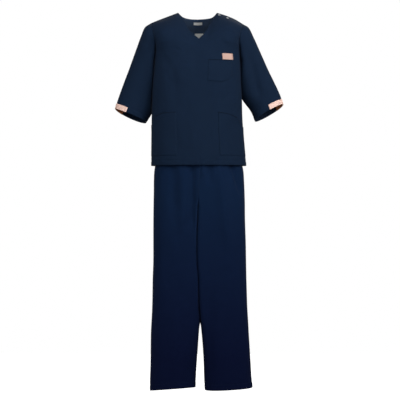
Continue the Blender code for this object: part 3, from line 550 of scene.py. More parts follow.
def trouser_row(down, side, sign):
    """One row of a trouser panel, from the centre seam or the inseam round to the side seam."""
    bend = FRONT_RISE_BEND if sign < 0 else BACK_RISE_BEND
    hip = row_at(HIP_ROWS, min(down, CROTCH_DOWN))
    leg = row_at(LEG_ROWS, max(down, CROTCH_DOWN))
    leg_share = ease((down - HIP_TO_LEG[0]) / (HIP_TO_LEG[1] - HIP_TO_LEG[0]))
    hip_reach, leg_reach = (hip.front, leg.front) if sign < 0 else (hip.back, leg.back)
    hip_outer, leg_outer = (hip.left_x, leg.left_out) if side > 0 else (hip.right_x, leg.right_out)
    outer = (1 - leg_share) * hip_outer + leg_share * leg_outer
    inner = leg.left_in if side > 0 else leg.right_in
    if down < CROTCH_DOWN:
        inner = hip.seam_x

    across = (1 - np.cos(np.linspace(0, np.pi, SECTION_SAMPLES))) / 2
    hip_line = hip_reach * (1 - across**BODY_POWER) ** (1 / BODY_POWER)
    leg_line = leg_reach * (1 - np.clip(2 * across - 1, 0, 1) ** LEG_POWER) ** (1 / LEG_POWER)
    line = (1 - leg_share) * hip_line + leg_share * leg_line
    rise = np.clip((down - bend) / (CROTCH_DOWN - bend), 0, 1)
    seam_depth = line[0] * np.sqrt(1 - rise**2)
    power = row_at(INNER_CORNERS, down).power
    corner = (1 - (1 - np.clip(2 * across, 0, 1)) ** power) ** (1 / power)
    y = seam_depth + (line - seam_depth) * corner
    y[0] = seam_depth
    x = inner + across * (outer - inner)
    steps = np.hypot(np.diff(x), np.diff(y))
    inner_part = across[1:] < INNER_PART
    steps[inner_part] *= INNER_RUN / steps[inner_part].sum()
    run = run_of(steps)
    wanted = np.linspace(0, run[-1], LEG_COLUMNS + 1)
    x, y = np.interp(wanted, run, x), sign * np.interp(wanted, run, y)

    near = ease(2 - 2 * np.abs(x) / SLIT_HALF_WIDTH) * ease((SLIT_REACH[0] - np.abs(y)) / SLIT_REACH[1])
    bent = x + SLIT_BEND * slit_share(down) * near * np.sin(np.pi * y / SLIT_DEPTH)
    hem = HEM_LEFT if side > 0 else HEM_RIGHT
    hem_share = ease((down - (LEG_ROWS[-1].down - HEM_FADE)) / HEM_FADE)
    target = hem.in_down + (x - inner) / (outer - inner) * (hem.out_down - hem.in_down) + hem.per_y * y
    return np.stack([bent, y, down + hem_share * (target - LEG_ROWS[-1].down)], axis=1)


def trouser_panel(side, sign):
    """One quarter of the trousers, with rows closer together where the rise curves under."""
    bend = FRONT_RISE_BEND if sign < 0 else BACK_RISE_BEND
    plain = levels_between(WAIST_SEAM, bend, LEG_STEP, hem=False)[:-1]
    curve = bend + (CROTCH_DOWN - bend) * (1 - np.linspace(1, 0, RISE_ROWS) ** RISE_CLOSING)
    legs = levels_between(CROTCH_DOWN, LEG_ROWS[-1].down, LEG_STEP)
    return np.array([trouser_row(down, side, sign) for down in [*plain, *curve[:-1], *legs]])


def normals_of(panel):
    """Unit normals at every point of a panel, pointing out of the garment."""
    grid, sign, closed = panel
    if closed:
        across = np.roll(grid, -1, axis=1) - np.roll(grid, 1, axis=1)
    else:
        across = np.gradient(grid, axis=1)
    return unit(sign * np.cross(across, np.gradient(grid, axis=0)))


def arcs(panel):
    """Distance along each row from its first point, and down each column from the first row."""
    grid, _, closed = panel
    across = np.linalg.norm(np.diff(grid, axis=1), axis=2)
    down = np.linalg.norm(np.diff(grid, axis=0), axis=2)
    across = np.concatenate([np.zeros((len(grid), 1)), np.cumsum(across, axis=1)], axis=1)
    down = np.concatenate([np.zeros((1, grid.shape[1])), np.cumsum(down, axis=0)], axis=0)
    return across, down


def fold_depth(panel, normal, folds):
    """How far the folds push each point of a panel in."""
    grid = panel.grid
    depth = np.zeros(grid.shape[:2])
    for fold in folds:
        facing = -normal[..., 1] if fold.side == "front" else normal[..., 1]
        start = np.array([fold.x0, fold.down0], float)
        run = np.array([fold.x1, fold.down1], float) - start
        length = np.linalg.norm(run)
        offset = grid[..., [0, 2]] - start
        t = (offset @ run) / length**2
        bow = fold.bow * np.sin(np.pi * np.clip(t, 0, 1))
        away = (offset[..., 0] * run[1] - offset[..., 1] * run[0]) / length - bow
        taper = ease(t / FOLD_TAPER) * ease((1 - t) / FOLD_TAPER)
        seen = np.clip(FOLD_FACING * facing, 0, 1)
        depth += fold.depth * np.exp(-(away / fold.width) ** 2) * taper * seen
    return depth


def ripple_depth(grid, seam, seed):
    """Soft unevenness that fades to nothing at the seams."""
    depth = np.zeros(grid.shape[:2])
    for ripple in RIPPLES:
        scale = np.array([1 / ripple.across, 1 / ripple.across, 1 / ripple.down])
        places = (grid * scale + seed).reshape(-1, 3)
        values = np.array([noise.noise(Vector(place)) for place in places])
        depth += ripple.depth * values.reshape(grid.shape[:2])
    return depth * ease(seam / RIPPLE_FADE)


def dressed(panel, folds, seam, seam_run, hem, band, seed):
    """A panel with its folds, ripples, seam puckers and hem relief. Seam and hem are distances."""
    normal = normals_of(panel)
    depth = fold_depth(panel, normal, folds) * ease(seam / RIPPLE_FADE * 2)
    depth += ripple_depth(panel.grid, seam, seed)
    sway = PUCKER_SWAY * np.sin(seam_run / PUCKER_SWAY_LENGTH)
    pucker = np.sin(2 * np.pi * seam_run / PUCKER_LENGTH + sway)
    depth += PUCKER_DEPTH * pucker * (seam / PUCKER_PEAK) * np.exp(-seam / PUCKER_PEAK)
    depth += HEM_GROOVE * np.exp(-((hem - band) / HEM_GROOVE_WIDTH) ** 2)
    depth -= HEM_SWELL * np.exp(-((hem - band / 2) / (band / 3)) ** 2)
    return Panel(panel.grid - depth[..., None] * normal, panel.sign, panel.closed)


def to_world(points):
    """Metres with +Z up, from millimetres with down."""
    return points * np.array([MM, MM, -MM])


def placed(name, data):
    """A new object in the scene."""
    item = bpy.data.objects.new(name, data)
    bpy.context.scene.collection.objects.link(item)
    return item


def grid_faces(rows, cols, closed, flip):
    """Faces of a grid of points."""
    faces = []
    for r in range(rows - 1):
        for c in range(cols if closed else cols - 1):
            d = (c + 1) % cols
            face = (r * cols + c, (r + 1) * cols + c, (r + 1) * cols + d, r * cols + d)
            faces.append(face[::-1] if flip else face)
    return faces


def shell(name, panel, seam, hem, thickness=SHELL):
    """A thin wall whose outer face is the panel, with its seam and hem distances and a map in metres."""
    grid, sign, closed = panel
    across, down = arcs(panel)
    middle = across[:, across.shape[1] // 2][:, None]
    uv = np.stack([across - middle, down], axis=2).reshape(-1, 2)
    mesh = bpy.data.meshes.new(name)
    faces = grid_faces(*grid.shape[:2], closed, sign < 0)
    mesh.from_pydata(to_world(grid.reshape(-1, 3)).tolist(), [], faces)
    for key, values in (("seam", seam), ("hem", hem)):
        layer = mesh.attributes.new(key, "FLOAT", "POINT")
        layer.data.foreach_set("value", np.asarray(values, np.float32).ravel())
    layer = mesh.uv_layers.new(name="cloth")
    corners = np.zeros(len(mesh.loops), np.int32)
    mesh.loops.foreach_get("vertex_index", corners)
    layer.data.foreach_set("uv", (uv[corners] * MM).astype(np.float32).ravel())
    mesh.shade_smooth()
    mesh.validate()
    item = placed(name, mesh)
    solid = item.modifiers.new("thickness", "SOLIDIFY")
    solid.thickness = thickness * MM
    solid.offset = -1
    solid.material_offset = 1
    return item


def seams_and_hem(panel, sides, top):
    """Distance to the nearest seam, the way along it, and the distance to the hem.

    sides tells whether the side edges are seams, and top which columns are sewn at their top.
    """
    across, down = arcs(panel)
    seam = np.full(across.shape, FAR)
    if sides:
        seam = np.minimum(across, across[:, -1:] - across)
    from_top = np.where(top[None, :], down, FAR)
    run = np.where(from_top < seam, across, down)
    return np.minimum(seam, from_top), run, down[-1:] - down


def build_top():
    """The front, back and sleeves of the top with their seams and hems."""
    edges = (ARMHOLE_RIGHT_FRONT, ARMHOLE_RIGHT_BACK, ARMHOLE_LEFT_FRONT, ARMHOLE_LEFT_BACK)
    right_front, right_back, left_front, left_back = [along(edge, YOKE_ROWS) for edge in edges]
    plain = {
        "top_front": Panel(body_panel(-1, NECK_RIGHT, NECK_LEFT, right_front, left_front), 1, False),
        "top_back": Panel(body_panel(1, NECK_BACK_RIGHT, NECK_BACK_LEFT, right_back, left_back), -1, False),
        "sleeve_right": Panel(sleeve(right_front, right_back, SLEEVE_RIGHT, -1), 1, True),
        "sleeve_left": Panel(sleeve(left_front, left_back, SLEEVE_LEFT, 1), -1, True),
    }
    made = {}
    for seed, (name, panel) in enumerate(plain.items()):
        body = not panel.closed
        shoulders = np.ones(panel.grid.shape[1], bool)
        if body:
            shoulders[SHOULDER_COLUMNS + 1:-SHOULDER_COLUMNS - 1] = False
        seam, run, hem = seams_and_hem(panel, body, shoulders)
        band = TOP_HEM_BAND if body else SLEEVE_HEM_BAND
        folds = TOP_FOLDS + SLEEVE_FOLDS + (SMALL_FOLDS if body else [])
        folded = dressed(panel, folds, seam, run, hem, band, TOP_SEED_STEP * seed)
        made[name] = (folded, seam, neck_or_hem(panel, hem))
    return made


def neck_or_hem(panel, hem):
    """Distance to the bottom hem or, on the body, to the neck edge where that is nearer."""
    if panel.closed:
        return hem
    down = arcs(panel)[1]
    neck = np.zeros(panel.grid.shape[1], bool)
    neck[SHOULDER_COLUMNS:-SHOULDER_COLUMNS] = True
    return np.minimum(hem, np.where(neck[None, :], down + NECK_HEM_SHIFT, FAR))


def build_trousers():
    """The four panels of the trousers with their seams and hems."""
    made = {}
    for side, side_name in ((-1, "right"), (1, "left")):
        for sign, face_name in ((-1, "front"), (1, "back")):
            panel = Panel(trouser_panel(side, sign), -side * sign, False)
            waist = np.ones(panel.grid.shape[1], bool)
            seam, run, hem = seams_and_hem(panel, True, waist)
            seed = LEG_SEED + LEG_SIDE_SEED * side + LEG_FACE_SEED * sign
            folded = dressed(panel, TROUSER_FOLDS + SMALL_FOLDS, seam, run, hem, LEG_HEM_BAND, seed)
            made[f"trouser_{side_name}_{face_name}"] = (folded, seam, hem)
    return made


def waistband(trousers):
    """The gathered band above the four trouser panels."""
    order = [("trouser_right_front", 1), ("trouser_right_back", -1),
             ("trouser_left_back", 1), ("trouser_left_front", -1)]
    low = np.concatenate([trousers[name][0].grid[0][::way][:-1] for name, way in order])
    top_row = row_at(HIP_ROWS, WAIST_TOP)
    seam_row = row_at(HIP_ROWS, WAIST_SEAM)
    gather = np.sin(np.arange(len(low)) * 2 * np.pi / GATHER_COLUMNS)
    rows = []
    for share in np.linspace(0, 1, BAND_ROWS + 1):
        ring = low.copy()
        inset = 1 - GATHER_DEPTH * gather * np.sin(np.pi * share)
        ring[:, 0] *= inset * ((1 - share) * top_row.left_x + share * seam_row.left_x) / seam_row.left_x
        ring[:, 1] *= inset * ((1 - share) * top_row.back + share * seam_row.back) / seam_row.back
        ring[:, 2] = WAIST_TOP + share * (WAIST_SEAM - SEAM_GAP - WAIST_TOP)
        rows.append(ring)
    return Panel(np.array(rows), 1, True)


def pick(grid, normal, column, down):
    """Point and normal of the front at a column position and a level below the chest row."""
    c0 = int(np.clip(np.floor(column), 0, grid.shape[1] - 2))
    share = column - c0
    line = (1 - share) * grid[YOKE_ROWS:, c0] + share * grid[YOKE_ROWS:, c0 + 1]
    turn = (1 - share) * normal[YOKE_ROWS:, c0] + share * normal[YOKE_ROWS:, c0 + 1]
    point = np.array([np.interp(down, line[:, 2], line[:, i]) for i in range(3)])
    way = np.array([np.interp(down, line[:, 2], turn[:, i]) for i in range(3)])
    return point, unit(way)


def column_of(grid, x, down):
    """Column position of the front where it passes x at a level."""
    xs = [np.interp(down, grid[YOKE_ROWS:, c, 2], grid[YOKE_ROWS:, c, 0]) for c in range(grid.shape[1])]
    return float(np.interp(x, xs, range(grid.shape[1])))


def down_at(edge, x):
    """Level of an edge where it passes x."""
    xs, downs = zip(*edge)
    return float(np.interp(x, xs, downs))


def patch(name, front, top, bottom, mouth, first=None, last=None, step=PATCH_STEP):
    """A sewn-on layer on the front, open and slightly bowed at its top edge.

    first and last are its outer columns on the front, at its top corners if none are given.
    """
    grid, normal = front
    first = column_of(grid, *top[0]) if first is None else first
    last = column_of(grid, *top[-1]) if last is None else last
    middle_down = (down_at(top, 0) + down_at(bottom, 0)) / 2
    ends = [pick(grid, normal, column, middle_down)[0][0] for column in (first, last)]
    width = abs(ends[1] - ends[0])
    columns = np.linspace(first, last, int(width / step) + 2)
    height = down_at(bottom, 0) - min(level.down for level in top)
    rows = int(height / step) + 2
    points = np.zeros((rows + 1, len(columns), 3))
    for j, column in enumerate(columns):
        x = pick(grid, normal, column, middle_down)[0][0]
        high, low = down_at(top, x), down_at(bottom, x)
        bulge = mouth * np.sin(np.pi * j / (len(columns) - 1))
        beside = min(j, len(columns) - 1 - j) * step
        for r in range(rows + 1):
            down = high + (low - high) * r / rows
            point, way = pick(grid, normal, column, down)
            sewn = ease(min(beside, low - down) / PATCH_EDGE)
            lift = PATCH_WALL + PATCH_LIFT * (PATCH_EDGE_LIFT + (1 - PATCH_EDGE_LIFT) * sewn)
            points[r, j] = point + way * (lift + bulge * ease(1 - (down - high) / MOUTH_FADE))
    panel = Panel(points, 1, False)
    across, down = arcs(panel)
    seam = np.minimum(np.minimum(across, across[:, -1:] - across), down[-1:] - down)
    return shell(name, panel, seam, down, PATCH_WALL)


def cast(tree, x, y, down):
    """Where a line towards the back meets a skin: the spot and the skin's normal towards the front."""
    origin = Vector(to_world(np.array([x, y, down])))
    spot, turn, _, _ = tree.ray_cast(origin, Vector((0, 1, 0)))
    turn = np.array(turn)
    return np.array(spot), turn if turn[1] < 0 else -turn


def skin_tree(grid):
    """A panel's skin for casting lines at."""
    faces = grid_faces(*grid.shape[:2], False, False)
    return BVHTree.FromPolygons(to_world(grid.reshape(-1, 3)).tolist(), faces)


def neck_label(back):
    """A small label on the inside of the back, seen through the V of the neck."""
    grid = back.grid - normals_of(back) * SHELL
    tree = skin_tree(grid)
    points = np.zeros((NECK_LABEL_ROWS + 1, NECK_LABEL_COLUMNS + 1, 3))
    for r, down in enumerate(np.linspace(*NECK_LABEL_DOWN, NECK_LABEL_ROWS + 1)):
        for c, x in enumerate(np.linspace(*NECK_LABEL_X, NECK_LABEL_COLUMNS + 1)):
            spot, turn = cast(tree, x, 0, down)
            points[r, c] = (spot + turn * (PATCH_LIFT + PATCH_WALL) * MM) / MM
    points[..., 2] *= -1
    panel = Panel(points, 1, False)
    across, down = arcs(panel)
    seam = np.minimum(across, across[:, -1:] - across)
    return shell("neck_label_cloth", panel, seam, down[-1:] - down, PATCH_WALL)


def snap_cap(snap, tree):
    """A snap cap with a raised rim round a shallow dish, square to the cloth under it."""
    spot, turn = cast(tree, snap.x, IN_FRONT, snap.down)
    angles = np.linspace(0, 2 * np.pi, SNAP_SIDES, endpoint=False)
    points = []
    for radius, height in SNAP_PROFILE:
        count = 1 if radius == 0 else SNAP_SIDES
        for angle in angles[:count]:
            points.append((radius * np.cos(angle), radius * np.sin(angle), height))
    turning = Vector(turn).to_track_quat("Z", "Y").to_matrix()
    lifted = [Vector(spot) + turning @ (Vector(p) * MM) + Vector(turn) * SNAP_LIFT * MM for p in points]
    rings = grid_faces(len(SNAP_PROFILE) - 2, SNAP_SIDES, True, False)
    faces = [tuple(1 + corner for corner in face) for face in rings]
    last = len(points) - 1
    for k in range(SNAP_SIDES):
        j = (k + 1) % SNAP_SIDES
        faces += [(0, 1 + k, 1 + j), (last - SNAP_SIDES + k, last, last - SNAP_SIDES + j)]
    mesh = bpy.data.meshes.new(snap.name)
    mesh.from_pydata([tuple(p) for p in lifted], [], faces)
    mesh.shade_smooth()
    return placed(snap.name + "_cap", mesh)


def cuff_tape(name, panel, span):
    """A tape folded over the outer part of a cuff, outside and inside."""
    grid, sign, _ = panel
    normal = normals_of(panel)
    cols = grid.shape[1]
    spread = np.arange(-CUFF_TAPE_BACK, span + 1) % cols
    edge = grid[-1, spread]
    way = normal[-1, spread]
    up = unit(grid[-CUFF_UP_ROWS, spread] - edge)
    outside = PATCH_LIFT + PATCH_WALL
    rows = []
    for share in np.linspace(1, 0, CUFF_TAPE_STEPS):
        rows.append(edge + up * share * CUFF_TAPE_UP + way * outside)
    middle = edge - way * SHELL / 2
    for angle in np.radians(range(CUFF_TURN_STEP, 180, CUFF_TURN_STEP)):
        swing = way * np.cos(angle) * (SHELL / 2 + outside) - up * np.sin(angle) * outside
        rows.append(middle + swing)
    for share in np.linspace(0, 1, CUFF_TAPE_STEPS):
        rows.append(edge + up * share * CUFF_TAPE_UP - way * (SHELL + outside))
    tape = Panel(np.array(rows), sign, False)
    across, down = arcs(tape)
    seam = np.minimum(across, across[:, -1:] - across)
    item = shell(name, tape, seam, down, PATCH_WALL)
    # Faces inside the cuff take the second material, the tape's painted shade
    first_inside = (len(rows) - CUFF_TAPE_STEPS) * (len(spread) - 1)
    for face in item.data.polygons:
        face.material_index = int(face.index >= first_inside)
    return item


# Stitches and twill, lengths in millimetres
STITCH_WIDTH = 0.7
STITCH_LENGTH = 3
STITCH_SHARE = 0.74
TWILL_TURN = 7.5
# Place and width of the painted shadow line along a pocket's open top edge
MOUTH_SHADOW_LINE = (0.8, 3.4)
SEAM_LINE_WIDTH = 1.6

# Relief of the cloth, in metres
TWILL_RELIEF = 0.00003
GRAIN_RELIEF = 0.00010
THREAD_RELIEF = 0.00018
SEAM_RELIEF = -0.0002

# Noise scales, and the edge and strength of the pale print
GRAIN_SCALE = 900
CLOUD_SCALE = 26
ENAMEL_SCALE = 700
FLOOR_SCALE = 40
PRINT_EDGE = (0.9, 1.05)
PRINT_STRENGTH = 0.85


def new_material(name):
    """A material with its node tree and its shader."""
    made = bpy.data.materials.new(name)
    made.use_nodes = True
    return made, made.node_tree, made.node_tree.nodes["Principled BSDF"]


def link(tree, kind, inputs=(), **settings):
    """A shader node with its settings, its inputs given as values or as other nodes' outputs."""
    node = tree.nodes.new(kind)
    for key, value in settings.items():
        setattr(node, key, value)
    for socket, value in dict(inputs).items():
        if isinstance(value, bpy.types.NodeSocket):
            tree.links.new(value, node.inputs[socket])
        else:
            node.inputs[socket].default_value = value
    return node


def maths(tree, operation, first, second=0, clamp=False):
    node = link(tree, "ShaderNodeMath", {0: first, 1: second}, operation=operation, use_clamp=clamp)
    return node.outputs[0]


def blend(tree, share, first, second):
    """The first colour or socket at a share of 0 and the second at 1."""
    ends = [value if isinstance(value, bpy.types.NodeSocket) else (*value, 1) for value in (first, second)]
    return link(tree, "ShaderNodeMix", {0: share, 6: ends[0], 7: ends[1]}, data_type="RGBA").outputs[2]


def noise_at(tree, place, scale, detail):
    """Soft noise between 0 and 1 over a place."""
    inputs = {"Vector": place, "Scale": scale, "Detail": detail}
    return link(tree, "ShaderNodeTexNoise", inputs).outputs["Fac"]


def mottled(tree, tone, colour, variation):
    """A colour that a tone between 0 and 1 varies to either side."""
    dark = [c * (1 - variation) for c in colour]
    return blend(tree, tone, dark, [c * (1 + variation) for c in colour])


def line_mask(tree, distance, place, width):
    """1 on a line at a distance from an edge, soft over its width, all in millimetres."""
    off = maths(tree, "ABSOLUTE", maths(tree, "SUBTRACT", distance, place))
    return maths(tree, "SUBTRACT", 1, maths(tree, "DIVIDE", off, width), clamp=True)


def stitches(tree, distance, place, run):
    """A row of stitches at a distance from an edge, with short gaps."""
    line = line_mask(tree, distance, place, STITCH_WIDTH)
    phase = maths(tree, "FRACT", maths(tree, "DIVIDE", run, STITCH_LENGTH))
    dash = maths(tree, "LESS_THAN", phase, STITCH_SHARE)
    return maths(tree, "MULTIPLY", line, dash)


def cloth_material(name, colour, thread, seam_lines, hem_lines, variation=0.12, painted_shade_colour=None,
                   mouth=0, mark=None):
    """Fine twill with stitching beside its seams and hems.

    painted_shade_colour is the darker colour painted in towards the hem as painted shade, mouth the
    strength of a painted shadow line along a pocket's open top edge, and mark the middle and half size of a
    bare pale print in millimetres.
    """
    made, tree, shader = new_material(name)
    place = link(tree, "ShaderNodeUVMap", uv_map="cloth").outputs[0]
    parts = link(tree, "ShaderNodeSeparateXYZ", {0: place})
    across = maths(tree, "MULTIPLY", parts.outputs[0], 1000)
    down = maths(tree, "MULTIPLY", parts.outputs[1], 1000)
    seam = link(tree, "ShaderNodeAttribute", attribute_name="seam").outputs["Fac"]
    hem = link(tree, "ShaderNodeAttribute", attribute_name="hem").outputs["Fac"]

    turns = [maths(tree, "MULTIPLY", way, TWILL_TURN) for way in (across, down)]
    twill = maths(tree, "SINE", maths(tree, "ADD", *turns))
    grain = noise_at(tree, place, GRAIN_SCALE, 3)
    cloud = noise_at(tree, place, CLOUD_SCALE, 4)

    rows = [stitches(tree, seam, line, down) for line in seam_lines]
    rows += [stitches(tree, hem, line, across) for line in hem_lines]
    thread_mask = rows[0]
    for row in rows[1:]:
        thread_mask = maths(tree, "MAXIMUM", thread_mask, row)

    tone = maths(tree, "ADD", maths(tree, "MULTIPLY", grain, 0.5), maths(tree, "MULTIPLY", cloud, 0.5))
    surface = mottled(tree, tone, colour, variation)
    # Painted shade: the colour darkens towards the hem, standing in for the light falling off there
    if painted_shade_colour is not None:
        shaded_surface = mottled(tree, tone, painted_shade_colour, variation)
        reach = {0: hem, 1: PAINTED_SHADE_ABOVE_HEM[0], 2: PAINTED_SHADE_ABOVE_HEM[1]}
        surface = blend(tree, link(tree, "ShaderNodeMapRange", reach).outputs[0], shaded_surface, surface)
    # Painted shadow: a dark line along a pocket's open top edge
    if mouth:
        edge = maths(tree, "MULTIPLY", line_mask(tree, hem, *MOUTH_SHADOW_LINE), mouth)
        surface = blend(tree, edge, surface, SHADE)
    if mark is not None:
        (mark_x, mark_down), (half_x, half_down) = mark
        side = maths(tree, "DIVIDE", maths(tree, "SUBTRACT", across, mark_x), half_x)
        level = maths(tree, "DIVIDE", maths(tree, "SUBTRACT", down, mark_down), half_down)
        farthest = maths(tree, "MAXIMUM", maths(tree, "ABSOLUTE", side), maths(tree, "ABSOLUTE", level))
        fade = {0: farthest, 1: PRINT_EDGE[0], 2: PRINT_EDGE[1], 3: PRINT_STRENGTH, 4: 0}
        surface = blend(tree, link(tree, "ShaderNodeMapRange", fade).outputs[0], surface, WHITE)
    surface = blend(tree, thread_mask, surface, thread)
    tree.links.new(surface, shader.inputs["Base Color"])

    height = maths(tree, "MULTIPLY", twill, TWILL_RELIEF)
    height = maths(tree, "ADD", height, maths(tree, "MULTIPLY", grain, GRAIN_RELIEF))
    height = maths(tree, "ADD", height, maths(tree, "MULTIPLY", thread_mask, THREAD_RELIEF))
    groove = maths(tree, "MULTIPLY", line_mask(tree, seam, 0, SEAM_LINE_WIDTH), SEAM_RELIEF)
    height = maths(tree, "ADD", height, groove)
    bump = link(tree, "ShaderNodeBump", {"Height": height, "Strength": 0.9, "Distance": 1})
    tree.links.new(bump.outputs[0], shader.inputs["Normal"])
    shader.inputs["Roughness"].default_value = 0.9
    shader.inputs["Specular IOR Level"].default_value = 0.08
    shader.inputs["Sheen Weight"].default_value = 0.01
    shader.inputs["Sheen Roughness"].default_value = 0.5
    return made


def snap_material():
    """Worn grey enamel."""
    made, tree, shader = new_material("snap_enamel")
    place = link(tree, "ShaderNodeTexCoord").outputs["Object"]
    cloud = noise_at(tree, place, ENAMEL_SCALE, 3)
    tree.links.new(blend(tree, cloud, *ENAMEL), shader.inputs["Base Color"])
    shader.inputs["Roughness"].default_value = 0.35
    return made


def stand(item, node, slot, *materials):
    """The piece rides on the root body, hides the solid it stands for and wears its materials. Its slot is
    not used.
    """
    for made in materials:
        item.data.materials.append(made)
    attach(item, "root")
    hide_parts(node)


NAVY = (0.0066, 0.0168, 0.0400)
NAVY_TROUSER = (0.0045, 0.0167, 0.0515)
# Painted shade: the trouser colour near the hem, darkened for the light falling off there
NAVY_PAINTED_SHADE_LOW = (0.0039, 0.0086, 0.0420)
INSIDE = (0.0060, 0.0130, 0.0290)
# Painted light: the inside of the back, much lighter than the navy cloth, for the light reaching it through
# the neck
NAVY_PAINTED_LIGHT_INSIDE = (0.0360, 0.0600, 0.1100)
THREAD = (0.0098, 0.0215, 0.0460)
# Colour of the painted shadow along pocket mouths
SHADE = (0.0015, 0.0035, 0.0090)
PINK = (1, 0.70, 0.60)
LABEL_PINK = (0.64, 0.42, 0.355)
WHITE = (0.80, 0.80, 0.78)
# Painted shade: the inside of the pink tape, painted a darker orange for the shade it lies in
TAPE_INSIDE_SHADE = (0.62, 0.22, 0.09)
PINK_THREAD = (0.7, 0.36, 0.30)
LABEL_THREAD = (0.44, 0.25, 0.20)
TAPE_INSIDE_SHADE_THREAD = (0.5, 0.16, 0.06)
WHITE_THREAD = (0.6, 0.6, 0.6)
ENAMEL = ((0.17, 0.19, 0.20), (0.27, 0.29, 0.30))

# Rows of stitches beside seams, and beside the edges of the neck, tapes and labels
SEAM_ROWS = (1.6, 7)
INSIDE_ROWS = (9,)
NECK_ROW = 11.5
TAPE_ROWS = (1.2,)
LABEL_ROWS = (3,)

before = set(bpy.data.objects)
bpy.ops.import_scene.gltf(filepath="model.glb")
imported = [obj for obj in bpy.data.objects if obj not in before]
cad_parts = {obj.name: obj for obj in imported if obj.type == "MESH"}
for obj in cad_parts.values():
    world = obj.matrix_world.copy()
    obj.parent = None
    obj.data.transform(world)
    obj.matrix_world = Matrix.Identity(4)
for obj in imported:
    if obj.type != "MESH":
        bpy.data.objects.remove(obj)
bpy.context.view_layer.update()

navy = cloth_material("navy_twill", NAVY, THREAD, SEAM_ROWS, (TOP_HEM_BAND, NECK_ROW))
navy_sleeve = cloth_material("navy_twill_sleeve", NAVY, THREAD, SEAM_ROWS, (SLEEVE_HEM_BAND,))
# The pocket cloth carries a painted shadow line along its open top edge
navy_pocket = cloth_material("navy_twill_pocket", NAVY, THREAD, SEAM_ROWS, (MOUTH_BAND,), mouth=0.8)
# The trousers darken towards the hem with painted shade
navy_trouser = cloth_material("navy_twill_trouser", NAVY_TROUSER, THREAD, SEAM_ROWS[:1], (LEG_HEM_BAND,),
                              painted_shade_colour=NAVY_PAINTED_SHADE_LOW)
inside = cloth_material("navy_twill_inside", INSIDE, THREAD, INSIDE_ROWS, (TOP_HEM_BAND,))
# The back's inside wears painted light, a lighter copy of the navy, with its print
lit_back_inside = cloth_material("navy_twill_back_inside_painted_light", NAVY_PAINTED_LIGHT_INSIDE, THREAD, INSIDE_ROWS, (TOP_HEM_BAND,),
                             mark=NECK_MARK)
pink = cloth_material("pink_tape_weave", PINK, PINK_THREAD, TAPE_ROWS, TAPE_ROWS, 0.05)
label_pink = cloth_material("pink_label_weave", LABEL_PINK, LABEL_THREAD, TAPE_ROWS, TAPE_ROWS, 0.05)
# The pink tape's inside, painted darker orange as painted shade
shaded_tape_inside = cloth_material("pink_tape_inside_painted_shade", TAPE_INSIDE_SHADE, TAPE_INSIDE_SHADE_THREAD, TAPE_ROWS, (), 0.08)
white = cloth_material("white_label_weave", WHITE, WHITE_THREAD, TAPE_ROWS, LABEL_ROWS, 0.04)

top = build_top()
trousers = build_trousers()
shells = {}
for name, (panel, seam, hem) in top.items():
    shells[name] = shell(name + "_cloth", panel, seam, hem)
    outer = navy_sleeve if panel.closed else navy
    # The back's inner face is painted lighter as painted light
    inner = lit_back_inside if name == "top_back" else inside
    stand(shells[name], name, "navy_cloth", outer, inner)
for name, (panel, seam, hem) in trousers.items():
    shells[name] = shell(name + "_cloth", panel, seam, hem)
    stand(shells[name], name, "navy_trouser_cloth", navy_trouser, inside)

band = waistband(trousers)
band_seam, _, band_hem = seams_and_hem(band, False, np.zeros(band.grid.shape[1], bool))
shells["waistband"] = shell("waistband_cloth", band, band_seam, band_hem)
stand(shells["waistband"], "waistband", "navy_trouser_cloth", navy_trouser, inside)

front_grid = top["top_front"][0].grid
front = (front_grid, normals_of(top["top_front"][0]))
right_end, left_end = [column_of(front_grid, *corner) for corner in HIP_POCKET_BOTTOM]
last_column = front_grid.shape[1] - 1 - HIP_POCKET_SIDE_GAP
patches = {
    "hip_pocket_right": patch("hip_pocket_right_cloth", front, HIP_POCKET_RIGHT_TOP, HIP_POCKET_BOTTOM,
                              HIP_MOUTH, HIP_POCKET_SIDE_GAP, right_end),
    "hip_pocket_left": patch("hip_pocket_left_cloth", front, HIP_POCKET_LEFT_TOP, HIP_POCKET_BOTTOM,
                             HIP_MOUTH, left_end, last_column),
    "chest_pocket": patch("chest_pocket_cloth", front, CHEST_POCKET_TOP, CHEST_POCKET_BOTTOM,
                          CHEST_MOUTH),
}
for name, item in patches.items():
    stand(item, name, "navy_cloth", navy_pocket, navy_pocket)

label = patch("chest_label_cloth", front, CHEST_LABEL_TOP, CHEST_LABEL_BOTTOM, 0, step=LABEL_STEP)
stand(label, "chest_label", "pink_tape", label_pink, label_pink)

neck = neck_label(top["top_back"][0])
stand(neck, "neck_label", "white_label", white, white)

enamel = snap_material()
tree = skin_tree(front_grid)
for snap in SNAPS:
    stand(snap_cap(snap, tree), snap.name, "grey_snap", enamel)

tapes = {}
for side in ("right", "left"):
    tapes[side] = cuff_tape(f"cuff_tape_{side}_cloth", top[f"sleeve_{side}"][0], CUFF_TAPE_FRONT[side])
    # The tape is pink outside and painted a darker orange inside as painted shade
    stand(tapes[side], f"cuff_tape_{side}", "pink_tape", pink, shaded_tape_inside)

# Floor, light and camera
FLOOR_DOWN = 1600
FLOOR_HALF = 1.6
FLOOR_COLOURS = ((0.56, 0.56, 0.55), (0.62, 0.62, 0.61))
ROOM_LIGHT = 0.20
CAMERA_AT = (0.00615, -5, -0.767)
VIEW_WIDTH = 1.64


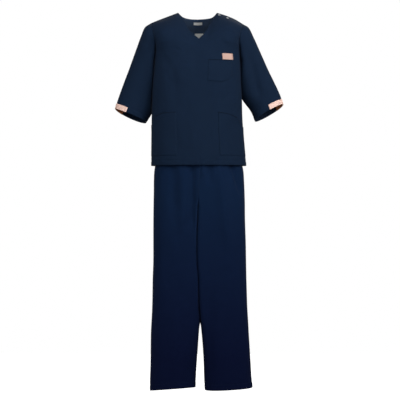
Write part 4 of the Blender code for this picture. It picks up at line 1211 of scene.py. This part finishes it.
def lay_floor():
    """A plain pale floor just below the hems, which the camera sees as white as the room."""
    corners = [(-1, -1), (1, -1), (1, 1), (-1, 1)]
    mesh = bpy.data.meshes.new("floor")
    points = [(FLOOR_HALF * x, FLOOR_HALF * y, -FLOOR_DOWN * MM) for x, y in corners]
    mesh.from_pydata(points, [], [range(4)])
    pale, tree, shader = new_material("pale_floor")
    speckle = link(tree, "ShaderNodeTexNoise", {"Scale": FLOOR_SCALE}).outputs["Fac"]
    tree.links.new(blend(tree, speckle, *FLOOR_COLOURS), shader.inputs["Base Color"])
    shader.inputs["Roughness"].default_value = 0.9
    shader.inputs["Emission Color"].default_value = (1, 1, 1, 1)
    seen = link(tree, "ShaderNodeLightPath").outputs["Is Camera Ray"]
    tree.links.new(seen, shader.inputs["Emission Strength"])
    mesh.materials.append(pale)
    item = placed("floor", mesh)


def area_light(name, location, target, size, spread, power):
    """A soft square lamp aimed at a target, its spread in degrees and its power in watts."""
    data = bpy.data.lights.new(name, "AREA")
    data.shape = "SQUARE"
    data.size = size
    data.spread = np.radians(spread)
    data.energy = power
    item = placed(name, data)
    item.location = location
    item.rotation_euler = (Vector(target) - Vector(location)).to_track_quat("-Z", "Y").to_euler()


lay_floor()
area_light("left box", (2, -1.8, 0.5), (0, 0, -0.1), 1.5, 62, 7.6)
area_light("right box", (-2, -1.8, 0.5), (0, 0, -0.1), 1.5, 62, 3.7)
area_light("top", (0.2, -1.9, 1.5), (0, 0, 0), 0.8, 50, 0.8)
area_light("front", (0.1, -4.4, 0.1), (0, 0, -0.3), 1.2, 120, 10)
area_light("back", (0.6, 2.2, 1), (0, 0, -0.6), 1.4, 120, 14)

world = bpy.data.worlds.new("studio")
bpy.context.scene.world = world
world.use_nodes = True
seen_directly = link(world.node_tree, "ShaderNodeLightPath").outputs["Is Camera Ray"]
strength = maths(world.node_tree, "MAXIMUM", seen_directly, ROOM_LIGHT)
world.node_tree.nodes["Background"].inputs[0].default_value = (1, 1, 1, 1)
world.node_tree.links.new(strength, world.node_tree.nodes["Background"].inputs[1])

camera = bpy.data.cameras.new("camera")
camera.lens = camera.sensor_width * -CAMERA_AT[1] / VIEW_WIDTH
holder = placed("camera", camera)
holder.location = CAMERA_AT
holder.rotation_euler = (np.pi / 2, 0, 0)
bpy.context.scene.camera = holder
bpy.context.scene.view_settings.view_transform = "Standard"
